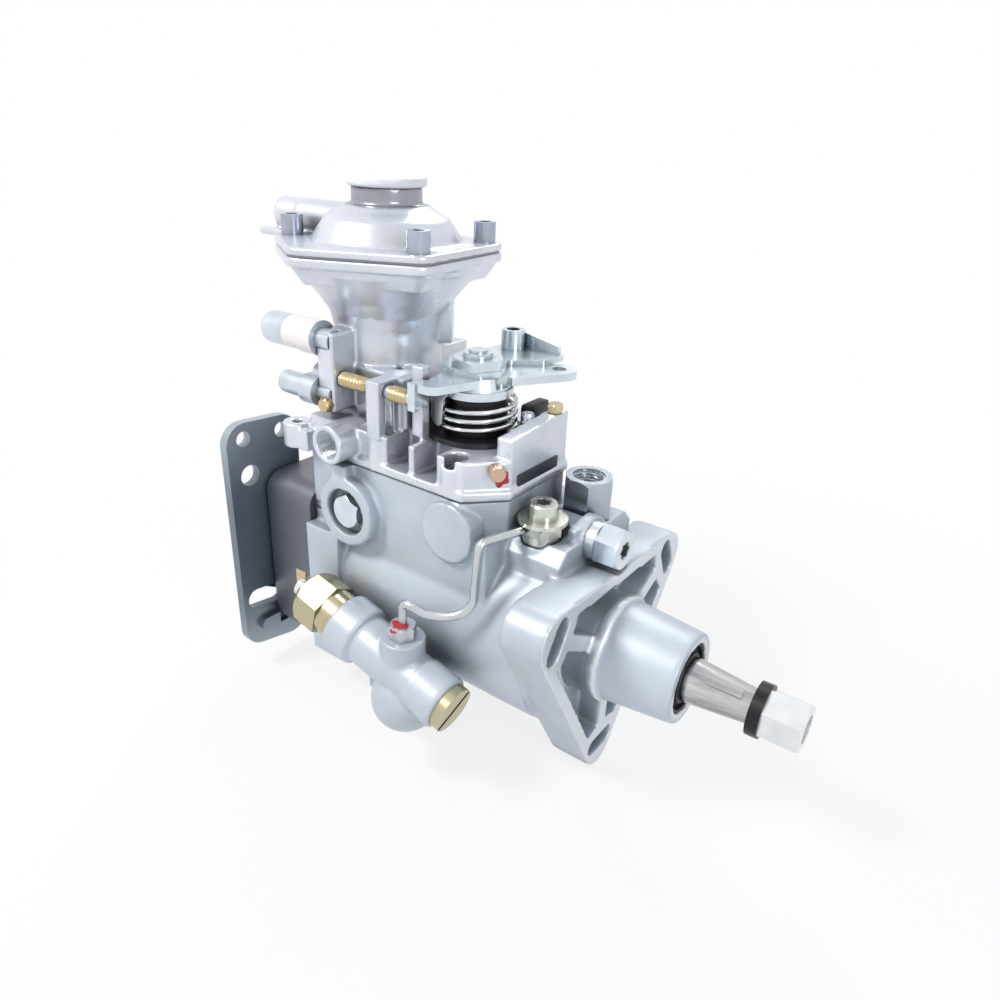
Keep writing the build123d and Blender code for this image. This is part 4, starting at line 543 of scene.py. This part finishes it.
def shaped(name, points, faces, material, body):
    """A new piece from its points and faces, smooth except over edges sharper than 35 degrees."""
    mesh = bpy.data.meshes.new(name)
    mesh.from_pydata(points.tolist(), [], faces)
    mesh.materials.append(material)
    mesh.shade_smooth()
    mesh.set_sharp_from_angle(angle=math.radians(35))
    mesh.update()
    piece = bpy.data.objects.new(name, mesh)
    scene.collection.objects.link(piece)
    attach(piece, body)
    return piece


def ring_quads(rings, sides, loop=False):
    """The quads between neighbouring rings of points, and in a loop between the last and the first."""
    first = np.arange(rings if loop else rings - 1)[:, None] * sides
    second = (first + sides) % (rings * sides)
    here = np.arange(sides)[None, :]
    there = (here + 1) % sides
    quads = np.stack([first + here, first + there, second + there, second + here], axis=2)
    return quads.reshape(-1, 4).tolist()


def lathe(start, toward, along, radius, sides=72, form=None, loop=False):
    """Points and faces of a profile turned round an axis. form gives the radius from the place along
    the axis, the profile's radius and the angle. A loop's last ring joins its first; otherwise a
    point on the axis closes each end."""
    toward = np.array(toward, float) / np.linalg.norm(toward)
    side = np.cross(toward, (0.0, 0.0, 1.0) if abs(toward[2]) < 0.9 else (0.0, 1.0, 0.0))
    side /= np.linalg.norm(side)
    over = np.cross(toward, side)
    angle = np.linspace(0.0, 2 * np.pi, sides, endpoint=False)
    along = np.array(along, float)[:, None]
    radius = np.array(radius, float)[:, None]
    reach = radius + 0 * angle if form is None else form(along, radius, angle[None, :])
    round_way = np.cos(angle)[:, None] * side + np.sin(angle)[:, None] * over
    points = np.array(start, float) + along[:, :, None] * toward + reach[:, :, None] * round_way
    rings = len(along)
    faces = ring_quads(rings, sides, loop)
    points = points.reshape(-1, 3)
    if not loop:
        ends = np.array(start, float) + along[[0, -1], 0][:, None] * toward
        points = np.vstack([points, ends])
        near, far = rings * sides, rings * sides + 1
        last = (rings - 1) * sides
        faces += [[near, (k + 1) % sides, k] for k in range(sides)]
        faces += [[far, last + k, last + (k + 1) % sides] for k in range(sides)]
    return points, faces


def six_flats(flats):
    """A hexagon cut back to the profile's own radius where that is less."""

    def reach(along, radius, angle):
        part = np.mod(angle, math.pi / 3) - math.pi / 6
        return np.minimum(radius, flats / 2 / np.cos(part)) + 0 * along

    return reach


def screw_thread(pitch, depth):
    """A thread: the radius rises and falls by depth once for each pitch along the axis."""

    def reach(along, radius, angle):
        turn = np.mod(along / pitch - angle / (2 * math.pi), 1.0)
        return radius + depth * (np.abs(2 * turn - 1) - 0.5)

    return reach


def sleeve_profile(length, outer, inner, steps):
    """Along and radius of a closed loop: up the outside of a sleeve and back down its bore."""
    up = np.linspace(0, length, 2)
    down = np.linspace(length, 0, steps)
    return np.concatenate([up, down]), np.concatenate([up * 0 + outer, down * 0 + inner])


def threaded_bore(wall, pitch, depth):
    """A sleeve that is plain outside, at the wall, and has a thread inside."""
    thread = screw_thread(pitch, depth)

    def reach(along, radius, angle):
        return np.where(radius > wall - 0.0001, radius, thread(along, radius, angle))

    return reach


bore_metal = turned_metal("thread_zinc", (0.42, 0.46, 0.50), 0.28, 2, 500.0, 0.00001)
for name, start, toward, length, wall in (
    ("inlet_thread", (-0.0295, 0.0185, 0.0545), (0, 0, 1), 0.0138, 0.00748),
    ("port_thread", (-0.1265, -0.0385, 0.0775), (0, -1, 0), 0.0108, 0.00648),
):
    along, radius = sleeve_profile(length, wall, wall - 0.0006, 80)
    form = threaded_bore(wall, 0.0015, 0.0009)
    points, faces = lathe(start, toward, along, radius, 64, form, True)
    shaped(name, points, faces, bore_metal, "body")

# The places that a workshop seals have star sockets: the top of the pressure valve and the end of the
# governor shaft's nut.


def star_socket(wall):
    """A sleeve that is round outside, at the wall, and has six waves inside."""

    def reach(along, radius, angle):
        return np.where(radius > wall * 0.99, radius, radius * (1 + 0.17 * np.cos(6 * angle)))

    return reach


for name, start, toward, length, wall in (
    ("valve_star", (-0.033, -0.013, 0.0622), (0, 0, 1), 0.0034, 0.00358),
    ("nut_star", (-0.0048, 0.003, 0.047), (1, 0, 0), 0.0042, 0.00418),
):
    along, radius = sleeve_profile(length, wall, wall * 0.80, 3)
    points, faces = lathe(start, toward, along, radius, 96, star_socket(wall), True)
    shaped(name, points, faces, bore_metal, "body")

# The idle screw is brass. Between the lugs its fine thread is in plain view.
brass = turned_metal("brass", (0.62, 0.50, 0.30), 0.28, 0, 900.0, 0.00001)
idle_radius, idle_y, idle_z = 0.0033, -0.034, 0.104
idle_thread = screw_thread(0.0008, 0.0005)
for name, low, high in (
    ("idle_thread_rear", -0.1302, -0.1113),
    ("idle_thread_front", -0.1002, -0.0902),
):
    along = np.linspace(0, high - low, int((high - low) / 0.00012))
    radius = np.full(len(along), idle_radius)
    points, faces = lathe((low, idle_y, idle_z), (1, 0, 0), along, radius, 36, idle_thread)
    shaped(name, points, faces, brass, "body")

# The four delivery unions at the rear carry the same kind of thread for the pipes' nuts.
union_end, union_circle, union_radius = -0.2152, 0.024, 0.0062
union_thread = screw_thread(0.0015, 0.0005)
along = np.linspace(0, 0.0185, 110)
radius = np.full(len(along), union_radius)
for number in range(4):
    turn = math.radians(45 + 90 * number)
    start = (union_end, union_circle * math.cos(turn), union_circle * math.sin(turn))
    points, faces = lathe(start, (1, 0, 0), along, radius, 36, union_thread)
    shaped("union_thread_%d" % (number + 1), points, faces, zinc, "body")

# The thin steel pipe runs from the pressure valve down to the side unit in wide, even bends. Its union
# nut is a hexagon, chamfered on top.


def bent_tube(corners, radius, sides=28):
    """Points and faces of a round tube along a line whose corners are cut again and again until it is
    smooth. The rings stand square to the line, set out from one direction that it never follows."""
    line = np.array(corners)
    for cut in range(4):
        after = 0.75 * line[:-1] + 0.25 * line[1:]
        before = 0.25 * line[:-1] + 0.75 * line[1:]
        inner = np.stack([after, before], axis=1).reshape(-1, 3)
        line = np.vstack([line[:1], inner, line[-1:]])
    toward = np.gradient(line, axis=0)
    toward /= np.linalg.norm(toward, axis=1, keepdims=True)
    side = np.cross(toward, (0.8, -0.6, 0.0))
    side /= np.linalg.norm(side, axis=1, keepdims=True)
    over = np.cross(toward, side)
    angle = np.linspace(0.0, 2 * np.pi, sides, endpoint=False)[None, :, None]
    points = line[:, None] + radius * (np.cos(angle) * side[:, None] + np.sin(angle) * over[:, None])
    last = (len(line) - 1) * sides
    ends = [list(range(sides))[::-1], list(range(last, last + sides))]
    return points.reshape(-1, 3), ring_quads(len(line), sides) + ends


pipe_metal = NODES["pressure_pipe"].data.materials[0]
pipe_radius = 0.0020
pipe_corners = (
    (-0.0370, -0.0228, 0.0545),
    (-0.0408, -0.0383, 0.0552),
    (-0.0425, -0.0450, 0.0555),
    (-0.0428, -0.0454, 0.0485),
    (-0.0432, -0.0461, 0.0355),
    (-0.0435, -0.0465, 0.0260),
    (-0.0490, -0.0505, 0.0200),
    (-0.0590, -0.0565, 0.0188),
    (-0.0655, -0.0597, 0.0224),
    (-0.0712, -0.0600, 0.0228),
    (-0.0716, -0.0600, 0.0165),
    (-0.0716, -0.0600, 0.0060),
)
points, faces = bent_tube(pipe_corners, pipe_radius)
pipe = shaped("bent_pipe", points, faces, pipe_metal, "body")
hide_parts("pressure_pipe")
pipe_nut_flats = 0.011
along = (0, 0, 0.0059, 0.0065, 0.0065)
radius = (0.001, 0.0064, 0.0064, 0.0056, 0.001)
nut_foot = (-0.0716, -0.0600, 0.0050)
points, faces = lathe(nut_foot, (0, 0, 1), along, radius, 72, six_flats(pipe_nut_flats))
nut = shaped("pipe_nut", points, faces, pipe_metal, "body")
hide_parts("pressure_pipe")

# A copper screw with a dab of red sealing paint closes the corner of the cover, and there is red on
# the union nut of the pipe too.
copper = turned_metal("copper", (0.66, 0.45, 0.33), 0.3, 2, 700.0, 0.00001)
corner_way = (0.73, -0.68, 0)
along = (0, 0, 0.0042, 0.0050, 0.0050)
radius = (0.00262, 0.00369, 0.00369, 0.00312, 0.00148)
points, faces = lathe((-0.0482, -0.0277, 0.0806), corner_way, along, radius, 72, six_flats(0.0066))
shaped("corner_screw", points, faces, copper, "body")


def dab(waves, turns):
    """A round dab whose edge goes in and out by four waves of two to five lobes."""

    def reach(along, radius, angle):
        lobes = sum(waves[k] * np.sin((k + 2) * angle + turns[k]) for k in range(4))
        return radius * (1 + lobes * (radius > 0.0004))

    return reach


red = cast_metal("red_paint", (0.50, 0.02, 0.03), 0.0, 0.25, 60.0, 900.0, 0.00003)
arc = np.linspace(0, math.pi / 2, 9)
for name, middle, toward, size, seed in (
    ("red_seal_corner", (-0.0466, -0.0262, 0.0768), corner_way, 0.0034, 3),
    ("red_seal_union", (-0.0718, -0.0624, 0.0112), (0.05, -0.35, 0.93), 0.0037, 8),
):
    rng = np.random.default_rng(seed)
    waves = rng.uniform(0.04, 0.13, 4)
    turns = rng.uniform(0, 2 * math.pi, 4)
    along, radius = np.sin(arc) * 0.0012, np.cos(arc) * size + 1e-5
    points, faces = lathe(middle, toward, along, radius, 48, dab(waves, turns))
    shaped(name, points, faces, red, "body")

# Behind the cover's front wall stand a grey pin and a brass nut, a dark screw closes the end of the
# block at the idle screw, and a small brass screw sits in the lug below it.
front_pin = ((0, 0.0112, 0.0124, 0.0128), (0.0030, 0.0030, 0.0024, 0.0010))
wall_nut = ((0, 0, 0.0030, 0.0036, 0.0036), (0.001, 0.0038, 0.0038, 0.0030, 0.001))
block_screw = ((0, 0.0052, 0.0060, 0.0060), (0.0042, 0.0042, 0.0034, 0.001))
lug_screw = ((0, 0, 0.0034, 0.0040, 0.0040), (0.001, 0.0036, 0.0036, 0.0028, 0.001))
for name, start, toward, (along, radius), flats, metal in (
    ("front_pin", (-0.0550, 0.0040, 0.0838), (0, 0, 1), front_pin, 0.02, zinc),
    ("wall_nut", (-0.0478, 0.0150, 0.0958), (0, 0, 1), wall_nut, 0.0066, brass),
    ("block_screw", (-0.1006, -0.0180, 0.0950), (1, 0, 0), block_screw, 0.0074, black),
    ("lug_screw", (-0.1342, -0.0398, 0.0928), (0, -1, 0), lug_screw, 0.0062, brass),
):
    points, faces = lathe(start, toward, along, radius, 72, six_flats(flats))
    shaped(name, points, faces, metal, "body")

# A moulded black plastic stop stands behind the front wall too, beside the nut.


def grid_quads(rows, columns):
    """The quads between neighbouring rows and columns of a grid of points."""
    number = np.arange(rows * columns).reshape(rows, columns)
    corners = [number[:-1, :-1], number[1:, :-1], number[1:, 1:], number[:-1, 1:]]
    return np.stack(corners, axis=-1).reshape(-1, 4)


def rounded_block(low, high, corner):
    """Points and faces of a block whose edges are rounded: a fine cube's points are pulled in to an
    inner block and pushed out again by the corner radius."""
    count = 9
    line = np.linspace(-1, 1, count)
    first, second = np.meshgrid(line, line, indexing="ij")
    low, high = np.array(low), np.array(high)
    points, faces = [], []
    for side in range(6):
        axis, sign = side // 2, 2 * (side % 2) - 1
        face = np.empty((count, count, 3))
        face[..., axis] = sign
        face[..., (axis + 1) % 3] = first
        face[..., (axis + 2) % 3] = second
        points.append(face.reshape(-1, 3))
        faces.append(side * count * count + grid_quads(count, count)[:, ::sign])
    half = (high - low) / 2
    place = np.vstack(points) * half
    inner = np.clip(place, corner - half, half - corner)
    out = place - inner
    size = np.linalg.norm(out, axis=1, keepdims=True)
    place = np.where(size > 1e-9, inner + out / np.maximum(size, 1e-9) * corner, place)
    single, number = np.unique(np.round(place, 9), axis=0, return_inverse=True)
    return single + (low + high) / 2, number.ravel()[np.vstack(faces)].tolist()


points, faces = rounded_block((-0.0620, 0.0080, 0.0838), (-0.0562, 0.0235, 0.0975), 0.0012)
shaped("plastic_stop", points, faces, black, "body")

# The type plate is a thin dark anodised sheet on the cover's front, left bare.
points, faces = rounded_block((-0.0440, -0.0180, 0.0692), (-0.0433, 0.0130, 0.0765), 0.0003)
plate_metal = turned_metal("type_plate_anodised", (0.045, 0.05, 0.06), 0.35, 1, 300.0, 0.00001, 0.5)
shaped("type_plate", points, faces, plate_metal, "body")

# A bent tab of the lever's cup reaches down over the spring on its left. It is a sheet bent round the
# lever's axis, flat on top and narrower toward its lower end.
lever_x, lever_y, cup_radius, sheet_thick = -0.077, -0.0045, 0.0193, 0.0008
turn = np.radians(np.linspace(-147, -101, 16))
height = np.array([0.1040, 0.1036, 0.1022, 0.0985, 0.0945, 0.0915, 0.0900])
inset = np.array([0.0030, 0.0010, 0.0001, 0, 0, 0, 0.0004])
wide = np.array([1, 1, 1, 0.98, 0.94, 0.86, 0.62])
swing = np.mean(turn) + (turn[None, :] - np.mean(turn)) * wide[:, None]
sheet = []
for thick in (0.0, sheet_thick):
    reach = (cup_radius - inset + thick)[:, None]
    level = (height + thick * (inset > 0.0005))[:, None] + 0 * swing
    bent = [lever_x + reach * np.cos(swing), lever_y + reach * np.sin(swing), level]
    sheet.append(np.stack(bent, axis=2))
count = swing.size
quads = grid_quads(*swing.shape)
number = np.arange(count).reshape(swing.shape)
rim = np.concatenate([number[0], number[1:, -1], number[-1, -2::-1], number[-2:0:-1, 0]])
after = np.roll(rim, -1)
edge = np.stack([rim + count, after + count, after, rim], axis=1)
points = np.concatenate(sheet).reshape(-1, 3)
faces = np.vstack([quads[:, ::-1], quads + count, edge]).tolist()
# The tab's colour is paler than the lever's zinc: a painted highlight that lifts it where it lies in the
# lever's shade.
tab_zinc_painted_light = cast_metal("tab_zinc_painted_light", (0.90, 0.92, 0.94), 0.5, 0.3, 70.0, 1200.0, 0.00001)
shaped("cup_tab", points, faces, tab_zinc_painted_light, "control")

# The rear plug of the advance unit ends in a black sealing ring, a white insulator and a small flat
# terminal, all on the unit's sloping axis.
unit_slope = math.radians(14.88)
unit_way = np.array([-math.cos(unit_slope), 0, math.sin(unit_slope)])
unit_rear = np.array([-0.109, -0.060, -0.003])
ring_start = unit_rear + unit_way * 0.0218
insulator_start = ring_start + unit_way * 0.0030
terminal_start = ring_start + unit_way * 0.0078
along = (0, 0, 0.0024, 0.0032, 0.0032)
radius = (0.001, 0.0092, 0.0092, 0.0084, 0.001)
points, faces = lathe(ring_start, unit_way, along, radius, 64)
shaped("unit_seal", points, faces, black, "body")
along = (0, 0, 0.0050, 0.0056, 0.0056)
radius = (0.001, 0.0050, 0.0050, 0.0042, 0.001)
points, faces = lathe(insulator_start, unit_way, along, radius, 48)
shaped("unit_insulator", points, faces, white_plastic, "body")
terminal_low = terminal_start - np.array([0.0035, 0.0004, 0.0016])
terminal_high = terminal_start + np.array([0.0035, 0.0004, 0.0085])
points, faces = rounded_block(terminal_low, terminal_high, 0.0003)
shaped("unit_terminal", points, faces, brass, "body")

# The outer sizes of the dressed pump are taken once more, as those of the solids were at the start.
low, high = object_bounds()
